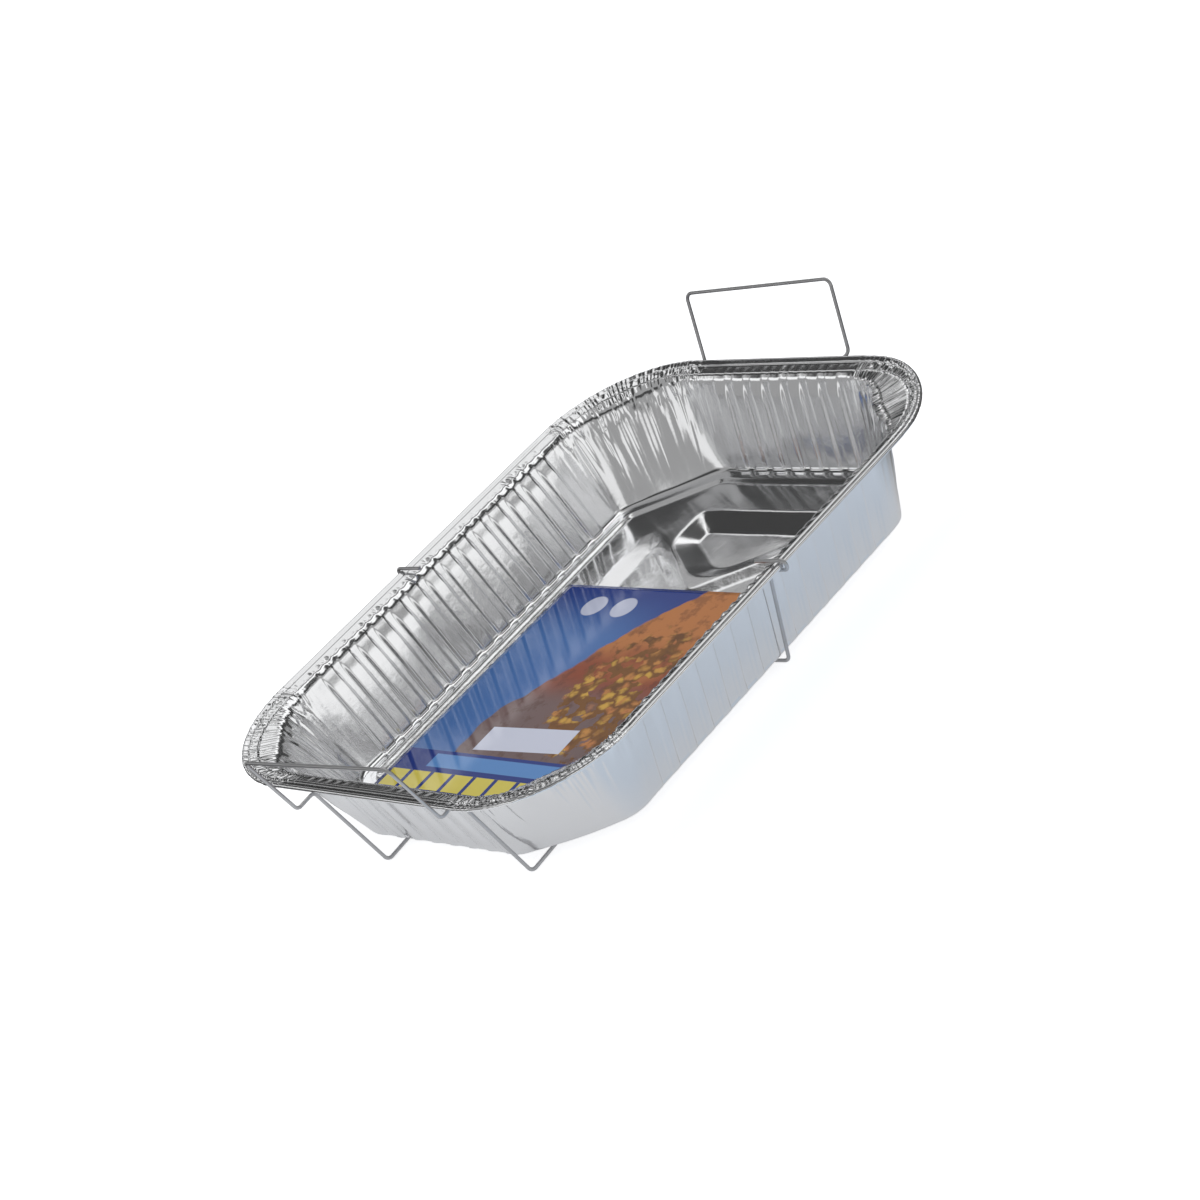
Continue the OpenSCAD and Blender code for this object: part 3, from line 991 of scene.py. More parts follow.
def rounded_outline(corners: Corners, steps: int = 10) -> np.ndarray:
    """Closed outline through corners, each rounded by a curve of second order over the length of its cut.

    A corner's curve is (1 - t)^2 a + 2 t (1 - t) c + t^2 b, from a on the side before it to b after it.

    Args:
        corners: (x, y, cut) of each corner, in millimetres.
        steps: Steps on each curve.

    Returns:
        Points (n, 2), in metres.
    """
    v = np.array(corners) * MM
    c, cut = v[:, :2], v[:, 2:]
    before = np.roll(c, 1, axis=0) - c
    after = np.roll(c, -1, axis=0) - c
    a = c + cut * before / np.linalg.norm(before, axis=1, keepdims=True)
    b = c + cut * after / np.linalg.norm(after, axis=1, keepdims=True)
    t = np.linspace(0.0, 1.0, steps + 1)[None, :, None]
    return ((1 - t) ** 2 * a[:, None] + 2 * t * (1 - t) * c[:, None] + t ** 2 * b[:, None]).reshape(-1, 2)


def outline_distance(outline: np.ndarray, x: np.ndarray, y: np.ndarray) -> np.ndarray:
    """Distance from places to a closed outline, positive inside it.

    The distance to each side is taken in turn and the least is kept; the sign comes from counting the
    sides that a line along +X crosses.

    Args:
        outline: Points (n, 2).
        x: Places.
        y: Places.

    Returns:
        Signed distances with the shape of x.
    """
    p = np.stack([x.ravel(), y.ravel()], axis=1)
    least = np.full(len(p), np.inf)
    inside = np.zeros(len(p), dtype=bool)
    for a, b in zip(outline, np.roll(outline, -1, axis=0)):
        side = b - a
        size = float(side @ side)
        if size < LEAST_LENGTH ** 2:
            continue
        share = np.clip((p - a) @ side / size, 0.0, 1.0)
        away = p - (a + share[:, None] * side)
        least = np.minimum(least, (away * away).sum(axis=1))
        spans = (a[1] > p[:, 1]) != (b[1] > p[:, 1])
        if side[1]:
            inside ^= spans & (p[:, 0] < a[0] + (p[:, 1] - a[1]) * side[0] / side[1])
    signed = np.sqrt(least) * np.where(inside, 1.0, -1.0)
    return signed.reshape(x.shape)


@dataclass
class PanFloor:
    """Floor of the pan, with its wide middle recess and the two end wells pressed into it.

    Corners are (x, y, cut) in millimetres, where the cut is the length over which a corner is rounded.

    Attributes:
        edge: Outline of the floor, which meets the walls' piece.
        floor_z: Height of the plain floor.
        foil_t: Thickness of the sheet.
        middle_d: Depth of the middle recess.
        well_d: Depth of an end well.
        middle_slope: Width of the slope round the recess.
        middle_ease: Half the rounded length at each end of that slope, as a share of it.
        well_slope: Width of the slope round a well.
        well_ease: Half the rounded length at each end of that slope, as a share of it.
        waves: The sheet's own slight waves.
        wave_h: Their height.
        calm_w: Width of the strip at the floor's edge over which they grow.
        cell: Distance between the points of the grid.
        well_edge: Corners of a well's edge, all round.
        well_bed: Corners of its bed.
        middle_edge: Corners of the recess's edge in one quarter.
        middle_bed: Corners of its bed in one quarter.
    """

    edge: Outline
    floor_z: float
    foil_t: float
    middle_d: float = 2.4 * MM
    well_d: float = 6.5 * MM
    middle_slope: float = 17.0 * MM
    middle_ease: float = 0.1
    well_slope: float = 16.0 * MM
    well_ease: float = 0.09
    waves: Waves = Waves(21, 25.0 * MM, 90.0 * MM, 20)
    wave_h: float = 0.10 * MM
    calm_w: float = 10.0 * MM
    cell: float = 1.3 * MM
    well_edge: Corners = ((65.0, 0.0, 33.0), (107.0, -57.0, 12.0), (143.0, -57.0, 9.0),
                          (143.0, 57.0, 9.0), (107.0, 57.0, 12.0))
    well_bed: Corners = ((85.8, 0.0, 17.0), (116.0, -41.0, 5.0), (127.0, -41.0, 3.0),
                         (127.0, 41.0, 3.0), (116.0, 41.0, 5.0))
    middle_edge: Corners = ((61.4, 0.0, 5.0), (118.0, 70.0, 6.0), (120.0, 88.0, 11.0))
    middle_bed: Corners = ((47.8, 0.0, 5.0), (98.0, 65.0, 2.0), (99.0, 71.0, 3.0))

    @staticmethod
    def four_sided(corners: Corners) -> Corners:
        """Repeats the corners of one quarter in the other three, anticlockwise.

        Args:
            corners: (x, y, cut) from the one on the X axis up.

        Returns:
            All the corners.
        """
        half = corners + tuple((-x, y, c) for x, y, c in reversed(corners))
        return half + tuple((-x, -y, c) for x, y, c in half[1:-1])

    @staticmethod
    def pressed(edge: np.ndarray, bed: np.ndarray, x: np.ndarray, y: np.ndarray,
                run: float, ease: float) -> np.ndarray:
        """Share of a recess's depth at each place: 0 outside its edge and 1 on its bed.

        Between them it is the distance from the edge over the sum of the distances from the edge and the
        bed, with both creases rounded.

        Args:
            edge: Outline at the top of the slope.
            bed: Outline at its foot.
            x: Places.
            y: Places.
            run: Width of the slope, for the rounding past its ends.
            ease: Half the rounded length, as a share of the slope.

        Returns:
            Shares with the shape of x.
        """
        to_edge = outline_distance(edge, x, y)
        to_bed = outline_distance(bed, x, y)
        between = to_edge / np.maximum(to_edge - to_bed, LEAST_LENGTH)
        t = np.where(to_edge < 0.0, to_edge / run, np.where(to_bed > 0.0, 1.0 + to_bed / run, between))
        return eased_ramp(t, ease)

    def height(self, x: np.ndarray, y: np.ndarray) -> np.ndarray:
        """Height of the floor: its level less the depth of each recess, and the sheet's own slight waves.

        Args:
            x: Places.
            y: Places.

        Returns:
            Heights with the shape of x.
        """
        middle = self.pressed(rounded_outline(self.four_sided(self.middle_edge)),
                              rounded_outline(self.four_sided(self.middle_bed)), x, y,
                              self.middle_slope, self.middle_ease)
        well_edge = rounded_outline(self.well_edge)
        well_bed = rounded_outline(self.well_bed)
        wells = sum(self.pressed(well_edge, well_bed, end * x, end * y, self.well_slope, self.well_ease)
                    for end in (1.0, -1.0))
        waves = self.wave_h * self.waves.at(x, y)
        return self.floor_z - self.middle_d * middle - self.well_d * wells + waves * self.calm(x, y)

    def calm(self, x: np.ndarray, y: np.ndarray) -> np.ndarray:
        """Share from 0 at the floor's own edge to 1 a little way in.

        Args:
            x: Places.
            y: Places.

        Returns:
            Shares with the shape of x.
        """
        across = smooth(0.0, self.calm_w, self.edge.half_w - np.abs(y))
        return across * smooth(0.0, self.calm_w, self.edge.half_length_at(y) - np.abs(x))

    def build(self) -> bpy.types.Object:
        """Makes the floor as a grid whose rows are as long as the outline is there.

        Returns:
            The object.
        """
        rows = int(2.0 * self.edge.half_w / self.cell)
        columns = int(2.0 * self.edge.half_l / self.cell)
        y = np.linspace(-self.edge.half_w, self.edge.half_w, rows)[:, None] * np.ones((1, columns))
        x = np.linspace(-1.0, 1.0, columns)[None, :] * self.edge.half_length_at(y)
        points = np.stack([x, y, self.height(x, y)], axis=-1).reshape(-1, 3)
        made = mesh_object("pan_floor", points, grid_faces(rows, columns, False))
        thicken(made, self.foil_t)
        return made


@dataclass
class PrintedCard:
    """Printed card that lies in the pan, slightly bowed.

    Attributes:
        length: Its size along the pan.
        width: Its size across the pan.
        thickness: Its thickness.
        far_x: Place of its far edge.
        far_z: Height of the underside of its far edge.
        rise: How much higher its near edge lies.
        bow: Height of its bow at the middle.
        rows: Points of its grid across the pan.
        columns: Points of its grid along the pan.
    """

    length: float = 206.0 * MM
    width: float = 224.0 * MM
    thickness: float = 0.4 * MM
    far_x: float = 60.0 * MM
    far_z: float = 7.5 * MM
    rise: float = 1.5 * MM
    bow: float = 0.35 * MM
    rows: int = 60
    columns: int = 60

    def build(self) -> bpy.types.Object:
        """Makes the card as a grid from its near edge to its far edge.

        Returns:
            The object.
        """
        u = np.linspace(0.0, 1.0, self.columns)[None, :] * np.ones((self.rows, 1))
        v = np.linspace(0.0, 1.0, self.rows)[:, None] * np.ones((1, self.columns))
        x = self.far_x - self.length * (1.0 - u)
        y = (v - 0.5) * self.width
        bow = self.bow * np.sin(math.pi * u) * np.sin(math.pi * v)
        z = self.far_z + self.rise * (1.0 - u) + self.thickness + bow
        points = np.stack([x, y, z], axis=-1).reshape(-1, 3)
        uv = np.stack([u, v], axis=-1).reshape(-1, 2)
        made = mesh_object("printed_card", points, grid_faces(self.rows, self.columns, False), uv)
        thicken(made, self.thickness)
        return made


class Nodes:
    """Small helper that adds and joins the nodes of one material or world."""

    def __init__(self, tree: bpy.types.NodeTree) -> None:
        """Starts from an empty tree.

        Args:
            tree: The node tree that is filled.
        """
        self.tree = tree
        tree.nodes.clear()

    def add(self, kind: str, inputs: dict | None = None, **settings: object) -> bpy.types.Node:
        """Adds a node.

        Args:
            kind: Blender's name for the node's type.
            inputs: Value or output socket for each input, by name or number.
            settings: The node's own settings.

        Returns:
            The node.
        """
        node = self.tree.nodes.new(kind)
        for name, value in settings.items():
            setattr(node, name, value)
        for key, value in (inputs or {}).items():
            if isinstance(value, Socket):
                self.tree.links.new(value, node.inputs[key])
            else:
                node.inputs[key].default_value = value
        return node

    def math(self, operation: str, *values: object) -> Socket:
        """Adds a Math node and gives its output.

        Args:
            operation: The node's operation.
            values: Its inputs in order.

        Returns:
            The output socket.
        """
        return self.add("ShaderNodeMath", dict(enumerate(values)), operation=operation).outputs[0]

    def band(self, value: Socket, low: float, high: float, edge: float) -> Socket:
        """Share that is 1 while a value lies between low and high and fades over edge outside them.

        Args:
            value: The value's socket.
            low: Start of the band.
            high: End of the band.
            edge: Width of the fade.

        Returns:
            The output socket.
        """
        up = self.add("ShaderNodeMapRange", {0: value, 1: low - edge, 2: low},
                      interpolation_type="SMOOTHSTEP")
        down = self.add("ShaderNodeMapRange", {0: value, 1: high, 2: high + edge, 3: 1.0, 4: 0.0},
                        interpolation_type="SMOOTHSTEP")
        return self.math("MULTIPLY", up.outputs[0], down.outputs[0])

    def mix(self, share: object, a: object, b: object) -> Socket:
        """Colour a share of the way from a to b.

        Args:
            share: Share or its socket.
            a: First colour or socket.
            b: Second colour or socket.

        Returns:
            The output socket.
        """
        node = self.add("ShaderNodeMix", {0: share, 6: a, 7: b}, data_type="RGBA")
        return node.outputs[2]


def new_material(name: str) -> tuple[bpy.types.Material, Nodes]:
    """Makes a material with an empty node tree.

    Args:
        name: Its name.

    Returns:
        The material and its node helper.
    """
    material = bpy.data.materials.new(name)
    material.use_nodes = True
    return material, Nodes(material.node_tree)


@dataclass(frozen=True)
class FoilFinish:
    """Bright rolled foil with fine rolling lines and small creases.

    Attributes:
        colour: Colour of the metal.
        roughness: Its roughness.
        line_scale: Fineness of the rolling lines along each axis, per metre.
        line_depth: Depth of the rolling lines.
        crease_scale: Fineness of the soft creases, per metre.
        crease_depth: Depth of the soft creases.
    """

    colour: Colour = (0.91, 0.915, 0.925, 1.0)
    roughness: float = 0.14
    line_scale: tuple[float, float, float] = (14.0, 620.0, 300.0)
    line_depth: float = 0.012 * MM
    crease_scale: float = 120.0
    crease_depth: float = 0.12 * MM

    def material(self) -> bpy.types.Material:
        """Makes the material: metal, with a bump of stretched noise and of soft creases.

        Returns:
            The material.
        """
        material, n = new_material("bright_foil")
        place = n.add("ShaderNodeTexCoord").outputs["Object"]
        stretched = n.add("ShaderNodeMapping", {"Vector": place, "Scale": self.line_scale})
        lines = n.add("ShaderNodeTexNoise", {"Vector": stretched.outputs[0], "Scale": 1.0, "Detail": 3.0})
        creases = n.add("ShaderNodeTexNoise", {"Vector": place, "Scale": self.crease_scale,
                                               "Detail": 4.0, "Roughness": 0.55})
        soft = n.add("ShaderNodeBump", {"Height": creases.outputs["Fac"], "Strength": 1.0,
                                        "Distance": self.crease_depth})
        fine = n.add("ShaderNodeBump", {"Height": lines.outputs["Fac"], "Normal": soft.outputs[0],
                                        "Strength": 1.0, "Distance": self.line_depth})
        shader = n.add("ShaderNodeBsdfPrincipled", {"Base Color": self.colour, "Metallic": 1.0,
                                                    "Roughness": self.roughness, "Normal": fine.outputs[0]})
        n.add("ShaderNodeOutputMaterial", {"Surface": shader.outputs[0]})
        return material


@dataclass(frozen=True)
class WireFinish:
    """Plain drawn steel wire.

    Attributes:
        colour: Colour of the metal.
        roughness: Its roughness.
        shade: Share of the colour where the wire is darkest.
        tone_scale: Fineness of its uneven tone, per metre.
    """

    colour: Colour = (0.66, 0.66, 0.67, 1.0)
    roughness: float = 0.42
    shade: float = 0.8
    tone_scale: float = 60.0

    def material(self) -> bpy.types.Material:
        """Makes the material: dull metal with a little uneven tone.

        Returns:
            The material.
        """
        material, n = new_material("drawn_wire")
        place = n.add("ShaderNodeTexCoord").outputs["Object"]
        tone = n.add("ShaderNodeTexNoise", {"Vector": place, "Scale": self.tone_scale, "Detail": 3.0})
        dark = tuple(c * self.shade for c in self.colour[:3]) + (1.0,)
        shader = n.add("ShaderNodeBsdfPrincipled", {
            "Base Color": n.mix(tone.outputs["Fac"], dark, self.colour), "Metallic": 1.0,
            "Roughness": self.roughness})
        n.add("ShaderNodeOutputMaterial", {"Surface": shader.outputs[0]})
        return material


@dataclass(frozen=True)
class CardFinish:
    """Glossy printed card: a blue field, a warm mottled field, a plain panel, and bands at the near end.

    Places on the card are shares: u runs along the pan from the near edge, and v across it.

    Attributes:
        blue: Colour of the blue field.
        sky: Light blue of its near part and of the upper band.
        gold: Lightest lumps of the warm field.
        umber: Gaps between the lumps.
        brown: Darkest part of the warm field.
        rust: Red-brown part of it.
        orange: Its far end, and its darker lumps.
        mauve: Its grey-brown near part.
        yellow: Lower band.
        white: Panel and discs.
        roughness: Roughness of the gloss.
        gloss: Strength of the gloss.
    """

    blue: Colour = (0.012, 0.035, 0.22, 1.0)
    sky: Colour = (0.10, 0.26, 0.58, 1.0)
    gold: Colour = (0.62, 0.36, 0.055, 1.0)
    umber: Colour = (0.19, 0.075, 0.012, 1.0)
    brown: Colour = (0.075, 0.022, 0.010, 1.0)
    rust: Colour = (0.26, 0.055, 0.018, 1.0)
    orange: Colour = (0.52, 0.20, 0.055, 1.0)
    mauve: Colour = (0.17, 0.115, 0.115, 1.0)
    yellow: Colour = (0.68, 0.58, 0.10, 1.0)
    white: Colour = (0.62, 0.65, 0.78, 1.0)
    roughness: float = 0.10
    gloss: float = 0.7

    def warm_field(self, n: Nodes, uv: Socket, u: Socket, v: Socket, wobble: Socket) -> Socket:
        """Makes the warm field: brown at one side, rust and orange at the far end, gold clusters between.

        Args:
            n: Node helper of the material.
            uv: Place on the card.
            u: Share along the card.
            v: Share across it.
            wobble: Slow noise.

        Returns:
            The colour's socket.
        """
        mottle = n.add("ShaderNodeTexNoise", {"Vector": uv, "Scale": 16.0, "Detail": 6.0, "Roughness": 0.65})
        warp = mottle.outputs["Fac"]
        shaken = n.add("ShaderNodeTexNoise", {"Vector": uv, "Scale": 30.0, "Detail": 2.0}).outputs["Color"]
        moved = n.add("ShaderNodeVectorMath", {0: shaken, 1: (0.05, 0.05, 0.0), 2: uv},
                      operation="MULTIPLY_ADD")
        cells = n.add("ShaderNodeTexVoronoi", {"Vector": moved.outputs[0], "Scale": 27.0})
        spots = cells.outputs["Distance"]
        tone = n.add("ShaderNodeSeparateXYZ", {0: cells.outputs["Color"]}).outputs[0]
        along = n.math("ADD", u, n.math("MULTIPLY", wobble, 0.5))
        colour = n.mix(n.band(along, 0.78, 9.0, 0.22), self.brown, self.rust)
        colour = n.mix(n.math("MULTIPLY", n.band(along, 1.02, 9.0, 0.22), 0.85), colour, self.orange)
        near = n.math("MULTIPLY", n.band(u, -1.0, 0.42, 0.16), n.band(v, 0.34, 9.0, 0.16))
        colour = n.mix(n.math("MULTIPLY", near, 0.9), colour, self.mauve)
        side = n.math("SUBTRACT", u, 0.50)
        rise = n.math("MULTIPLY", n.math("SUBTRACT", v, 0.40), 1.5)
        heap = n.math("SQRT", n.math("ADD", n.math("MULTIPLY", side, side), n.math("MULTIPLY", rise, rise)))
        heap = n.math("ADD", heap, n.math("MULTIPLY", warp, 0.5))
        lumps = n.math("MULTIPLY", n.band(heap, -1.0, 0.50, 0.05), n.band(tone, 0.22, 9.0, 0.02))
        lump = n.mix(n.band(tone, 0.70, 9.0, 0.35), self.orange, self.gold)
        colour = n.mix(lumps, colour, n.mix(n.band(spots, 0.62, 9.0, 0.40), lump, self.umber))
        return n.mix(n.math("MULTIPLY", n.band(warp, -1.0, 0.38, 0.12), 0.4), colour, self.brown)

    def material(self) -> bpy.types.Material:
        """Makes the print, with its gloss.

        Returns:
            The material.
        """
        material, n = new_material("printed_card")
        uv = n.add("ShaderNodeUVMap", uv_map="UVMap").outputs[0]
        u, v, _ = n.add("ShaderNodeSeparateXYZ", {0: uv}).outputs
        wobble = n.add("ShaderNodeTexNoise", {"Vector": uv, "Scale": 4.0, "Detail": 3.0}).outputs["Fac"]
        warm = self.warm_field(n, uv, u, v, wobble)
        shade = n.mix(n.band(v, 0.66, 9.0, 0.3), self.blue, self.sky)
        colour = n.mix(n.math("MULTIPLY", n.band(u, -1.0, 0.72, 0.3), 0.55), self.blue, shade)

        # Warm field, below an arched edge
        arch = n.math("SUBTRACT", 0.74, n.math("MULTIPLY", n.math("MULTIPLY", u, u), 0.42))
        edge = n.math("SUBTRACT", n.math("ADD", arch, n.math("MULTIPLY", wobble, 0.16)), v)
        colour = n.mix(n.band(edge, 0.0, 9.0, 0.012), colour, warm)

        # Discs in the blue field
        disc = n.math("SUBTRACT", n.math("FRACT", n.math("MULTIPLY", v, 8.0)), 0.5)
        across = n.math("MULTIPLY", n.math("SUBTRACT", u, 0.90), 7.4)
        reach = n.math("ADD", n.math("MULTIPLY", disc, disc), n.math("MULTIPLY", across, across))
        discs = n.math("MULTIPLY", n.band(reach, -1.0, 0.11, 0.03), n.band(v, 0.626, 0.874, 0.001))
        colour = n.mix(n.math("MULTIPLY", discs, 0.8), colour, self.white)

        # Bands at the near end, with blue gaps in the yellow one
        colour = n.mix(n.band(u, -1.0, 0.185, 0.002), colour, self.blue)
        upper = n.math("MULTIPLY", n.band(u, 0.115, 0.17, 0.004), n.band(v, 0.18, 0.86, 0.004))
        colour = n.mix(upper, colour, self.sky)
        lower = n.band(u, 0.015, 0.09, 0.002)
        colour = n.mix(lower, colour, self.yellow)
        gaps = n.band(n.math("FRACT", n.math("MULTIPLY", v, 11.0)), 0.84, 9.0, 0.02)
        colour = n.mix(n.math("MULTIPLY", gaps, lower), colour, self.blue)

        # Plain panel
        slope = n.math("ADD", u, n.math("MULTIPLY", v, 0.06))
        panel = n.math("MULTIPLY", n.band(slope, 0.25, 0.355, 0.002), n.band(v, 0.40, 0.74, 0.002))
        colour = n.mix(panel, colour, self.white)
        shader = n.add("ShaderNodeBsdfPrincipled", {"Base Color": colour, "Roughness": self.roughness,
                                                    "Specular IOR Level": self.gloss})
        n.add("ShaderNodeOutputMaterial", {"Surface": shader.outputs[0]})
        return material


@dataclass(frozen=True)
class SoftPanel:
    """Soft light or dark card of the studio, seen in the direction of its middle.

    Attributes:
        azimuth: Direction of its middle, in degrees from +X towards +Y.
        elevation: Direction of its middle, in degrees above the floor.
        half_width: Half its width, in degrees.
        half_height: Half its height, in degrees.
        strength: Its light, where 1 is white.
        edge: Width of its soft edge, as a tangent.
    """

    azimuth: float
    elevation: float
    half_width: float
    half_height: float
    strength: float
    edge: float = 0.12

    def axes(self) -> tuple[Vector, Vector, Vector]:
        """Direction of the panel's middle, and its own right and up.

        Returns:
            Three directions of length 1.
        """
        a, e = math.radians(self.azimuth), math.radians(self.elevation)
        middle = Vector((math.cos(e) * math.cos(a), math.cos(e) * math.sin(a), math.sin(e)))
        right = Vector((-math.sin(a), math.cos(a), 0.0))
        return middle, right, middle.cross(right)

    def share(self, n: Nodes, towards: Socket) -> Socket:
        """Share of the panel that shows in each direction: 1 on it, fading to 0 past its edges.

        Args:
            n: Node helper of the world.
            towards: Socket of the direction.

        Returns:
            The share's socket.
        """
        middle, right, up = self.axes()
        front, side, rise = (
            n.add("ShaderNodeVectorMath", {0: towards, 1: tuple(v)}, operation="DOT_PRODUCT").outputs["Value"]
            for v in (middle, right, up))
        ahead = n.math("MAXIMUM", front, 0.001)
        across = n.math("DIVIDE", side, ahead)
        height = n.math("DIVIDE", rise, ahead)
        w, h = math.tan(math.radians(self.half_width)), math.tan(math.radians(self.half_height))
        window = n.math("MULTIPLY", n.band(across, -w, w, self.edge), n.band(height, -h, h, self.edge))
        return n.math("MULTIPLY", window, n.math("GREATER_THAN", front, 0.0))


@dataclass
class Studio:
    """Pale floor, soft studio round the object, and the camera.

    Attributes:
        room: Light of the room between the panels, as it is mirrored.
        light: Even light of the room on the object.
        floor_glow: Light that the floor adds for the camera, which brings it to white.
        floor_shine: Light that it adds in mirrors.
        table_middle: Middle of the pale table that mirrors show.
        table_reach: Radius of that table; the floor beyond it is dark in mirrors.
        far_tint: Colour of the floor.
        near_painted_blue_light: Bluish colour of the floor beside the near long wall: painted light, a pool
            of bluish light painted into the floor there for the near wall to mirror.
        dark_tint: Colour of the floor beyond the table.
        near_y: Where the painted bluish light starts.
        panels: Lights and dark cards; a later one covers an earlier one.
        floor_half: Half the size of the floor.
        camera_place: Place of the camera.
        camera_heading: Direction in which it looks, in degrees from +X towards +Y.
        camera_pitch: Its slant, in degrees.
        camera_roll: Its roll, in degrees.
        focal_px: Its focal length, in pixels of the photograph.
        frame_px: Width of the photograph, in pixels.
        sensor: Width of its sensor, in millimetres.
    """

    room: float = 0.34
    light: float = 0.92
    floor_glow: float = 0.76
    floor_shine: float = 0.27
    table_middle: tuple[float, float, float] = (-0.15, -0.18, 0.0)
    table_reach: float = 0.42
    far_tint: Colour = (0.56, 0.57, 0.59, 1.0)
    # Painted light: bluish light painted into the floor beside the near long wall, which the near wall
    # mirrors.
    near_painted_blue_light: Colour = (0.37, 0.45, 0.55, 1.0)
    dark_tint: Colour = (0.05, 0.05, 0.05, 1.0)
    near_y: float = -0.16
    panels: tuple[SoftPanel, ...] = (
        SoftPanel(-10.0, 56.0, 38.0, 18.0, 1.1),
        SoftPanel(50.0, 44.0, 13.0, 12.0, 0.88, 0.06),
        SoftPanel(127.0, 26.0, 9.0, 6.0, 1.0, 0.06),
        SoftPanel(-58.0, 6.0, 22.0, 12.0, 0.95),
        SoftPanel(-178.0, 12.0, 12.0, 14.0, 0.85),
        SoftPanel(-112.0, 12.0, 12.0, 14.0, 0.85),
        SoftPanel(80.0, 19.0, 8.0, 6.0, 0.95, 0.05),
        SoftPanel(78.0, 42.0, 12.0, 13.0, 0.05, 0.06),
        SoftPanel(108.0, 43.0, 8.0, 8.0, 0.05, 0.06),
        SoftPanel(50.0, 4.0, 32.0, 8.0, 0.02, 0.04),
        SoftPanel(22.0, 57.0, 6.0, 8.0, 0.05, 0.05),
        SoftPanel(-45.0, 42.0, 13.0, 9.0, 0.05, 0.05),
        SoftPanel(-12.0, 22.0, 34.0, 12.0, 0.06, 0.08),
        SoftPanel(-140.0, 60.0, 26.0, 14.0, 0.06),
    )
    floor_half: float = 9.0
    camera_place: tuple[float, float, float] = (-0.96466, -1.40575, 0.87795)
    camera_heading: float = 55.6074
    camera_pitch: float = -25.9354
    camera_roll: float = -29.4624
    focal_px: float = 3071.25
    frame_px: float = 1200.0
    sensor: float = 36.0

    def build_world(self) -> None:
        """Makes the room: even light on the object, the soft panels in its reflections, and plain white."""
        world = bpy.data.worlds.new("studio")
        bpy.context.scene.world = world
        world.use_nodes = True
        world.cycles.sampling_method = "NONE"
        n = Nodes(world.node_tree)
        towards = n.add("ShaderNodeTexCoord").outputs["Generated"]
        level: object = self.room
        for panel in self.panels:
            step = n.add("ShaderNodeMix", {0: panel.share(n, towards), 2: level, 3: panel.strength},
                         data_type="FLOAT")
            level = step.outputs[0]
        path = n.add("ShaderNodeLightPath").outputs
        mirrored = n.math("MAXIMUM", path["Is Glossy Ray"], path["Is Transmission Ray"])
        lit = n.add("ShaderNodeMix", {0: mirrored, 2: self.light, 3: level}, data_type="FLOAT").outputs[0]
        shown = n.add("ShaderNodeMix", {0: path["Is Camera Ray"], 2: lit, 3: 1.0}, data_type="FLOAT")
        back = n.add("ShaderNodeBackground", {"Color": WHITE, "Strength": shown.outputs[0]})
        n.add("ShaderNodeOutputWorld", {"Surface": back.outputs[0]})

    def build_floor(self) -> None:
        """Lays the pale floor under the object."""
        r = self.floor_half
        corners = np.array([[-r, -r, 0.0], [r, -r, 0.0], [r, r, 0.0], [-r, r, 0.0]])
        made = mesh_object("studio_floor", corners + [0.0, 0.0, CAD_LOW.z - 0.0002], np.array([[0, 1, 2, 3]]))
        material, n = new_material("pale_floor")
        place = n.add("ShaderNodeTexCoord").outputs["Object"]
        beside = n.add("ShaderNodeSeparateXYZ", {0: place}).outputs[1]
        # Floor colour, with painted bluish light beside the near long wall.
        tint = n.mix(n.band(beside, -99.0, self.near_y, 0.04), self.far_tint, self.near_painted_blue_light)
        diffuse = n.add("ShaderNodeBsdfDiffuse", {"Color": tint})
        path = n.add("ShaderNodeLightPath").outputs
        mirrored = n.math("MAXIMUM", path["Is Glossy Ray"], path["Is Transmission Ray"])
        glow = n.math("ADD", n.math("MULTIPLY", path["Is Camera Ray"], self.floor_glow),
                      n.math("MULTIPLY", mirrored, self.floor_shine))
        lit = n.add("ShaderNodeEmission", {"Color": WHITE, "Strength": glow})
        both = n.add("ShaderNodeAddShader", {0: diffuse.outputs[0], 1: lit.outputs[0]})
        away = n.add("ShaderNodeVectorMath", {0: place, 1: self.table_middle}, operation="DISTANCE")
        beyond = n.math("MULTIPLY", mirrored, n.band(away.outputs["Value"], self.table_reach, 99.0, 0.12))
        dark = n.add("ShaderNodeBsdfDiffuse", {"Color": self.dark_tint})
        seen = n.add("ShaderNodeMixShader", {0: beyond, 1: both.outputs[0], 2: dark.outputs[0]})
        n.add("ShaderNodeOutputMaterial", {"Surface": seen.outputs[0]})
        made.data.materials.append(material)

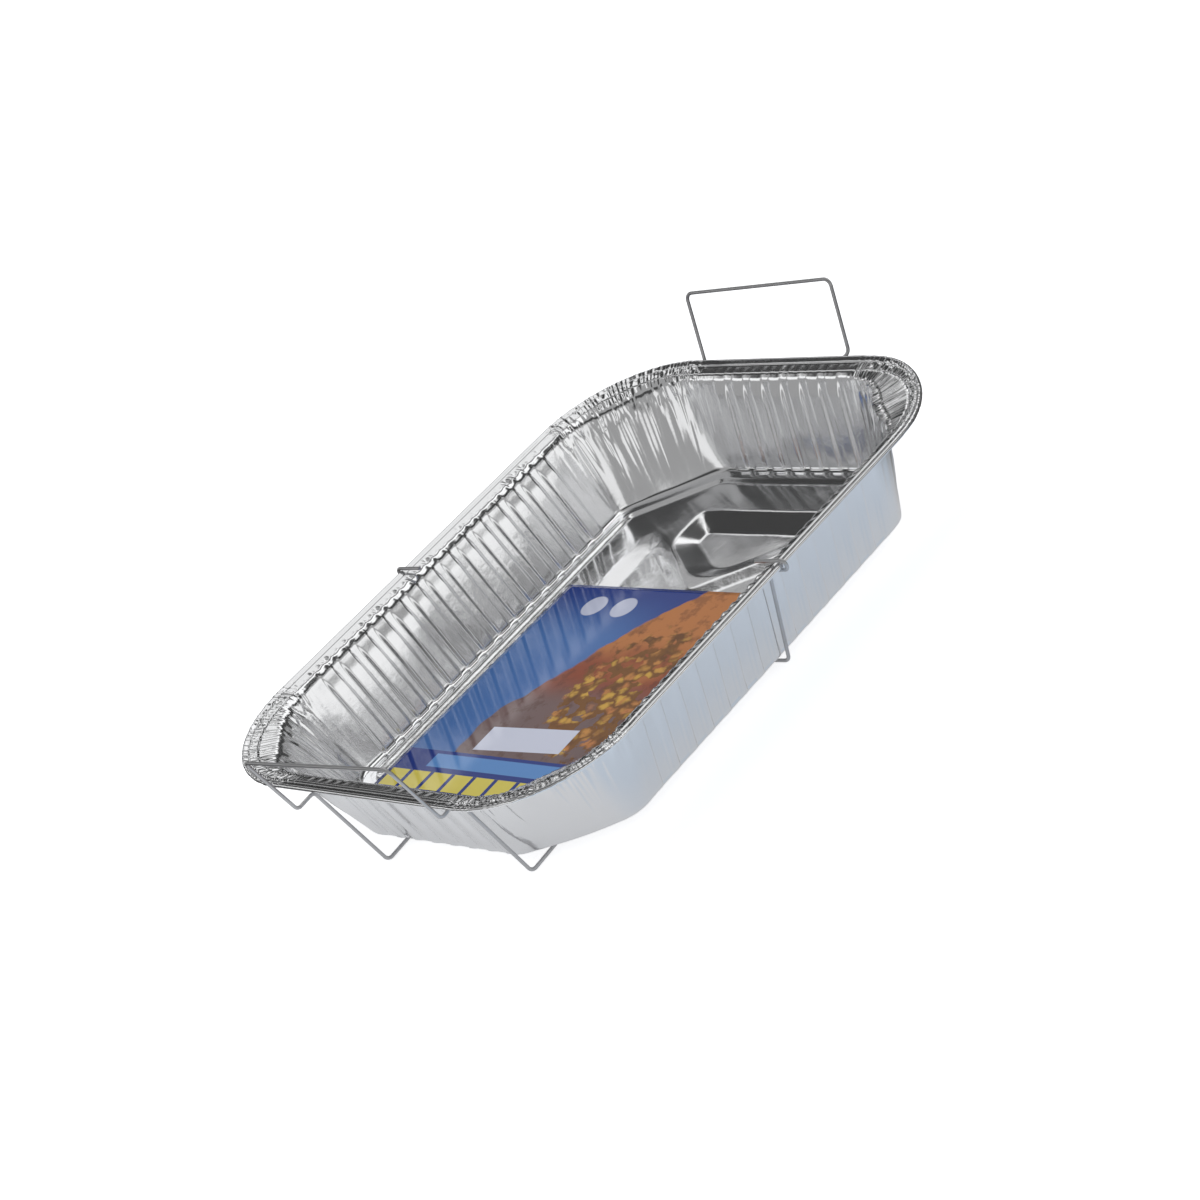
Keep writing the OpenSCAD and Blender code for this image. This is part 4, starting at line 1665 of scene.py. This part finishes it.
    def build_camera(self) -> None:
        """Sets the camera where the photograph was taken from, rolled about its line of sight."""
        data = bpy.data.cameras.new("camera")
        data.sensor_width = self.sensor
        data.lens = self.sensor * self.focal_px / self.frame_px
        data.clip_start, data.clip_end = 0.05, 50.0
        a, e, roll = (math.radians(v) for v in (self.camera_heading, self.camera_pitch, self.camera_roll))
        ahead = Vector((math.cos(e) * math.cos(a), math.cos(e) * math.sin(a), math.sin(e)))
        level = ahead.cross(Vector((0.0, 0.0, 1.0))).normalized()
        upright = level.cross(ahead)
        right = level * math.cos(roll) + upright * math.sin(roll)
        up = right.cross(ahead)
        made = bpy.data.objects.new("camera", data)
        turned = Matrix((right, up, -ahead)).transposed().to_4x4()
        made.matrix_world = Matrix.Translation(self.camera_place) @ turned
        bpy.context.scene.collection.objects.link(made)
        bpy.context.scene.camera = made

    def build(self) -> None:
        """Makes the whole studio."""
        self.build_world()
        self.build_floor()
        self.build_camera()
        bpy.context.scene.view_settings.view_transform = "Standard"


def dress(made: bpy.types.Object, material: bpy.types.Material) -> None:
    """Gives a piece its finish and lets it ride on the frame.

    Args:
        made: The piece.
        material: Its finish.
    """
    made.data.materials.clear()
    made.data.materials.append(material)
    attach(made, "root")


def main() -> None:
    """Builds every piece in order, then the studio."""
    logging.basicConfig(level=logging.INFO, format="%(name)s: %(message)s")
    _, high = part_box(Part.PAN.value)
    rim = Outline(half_l=high[0], half_w=high[1], cut_x=48.0 * MM, cut_y=48.0 * MM, radius=82.0 * MM)
    foil = FoilFinish().material()
    shell = FoilShell(rim=rim)
    sheets = shell.build()
    sheets.append(PanFloor(edge=shell.floor_edge(), floor_z=shell.floor_z, foil_t=shell.foil_t).build())
    for sheet in sheets:
        dress(sheet, foil)
        log.info("%s: %d points", sheet.name, len(sheet.data.vertices))
    for sheet in sheets:
        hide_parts(Part.PAN.value)
    card = PrintedCard().build()
    dress(card, CardFinish().material())
    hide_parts(Part.CARD.value)
    wire = WireFinish().material()
    for part in (Part.CRADLE, Part.CROSS):
        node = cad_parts[part.value]
        for slot in node.material_slots:
            slot.material = wire
        log.info("%s: CAD solid with the wire finish", part.value)
    Studio().build()


if __name__ == "__main__":
    main()
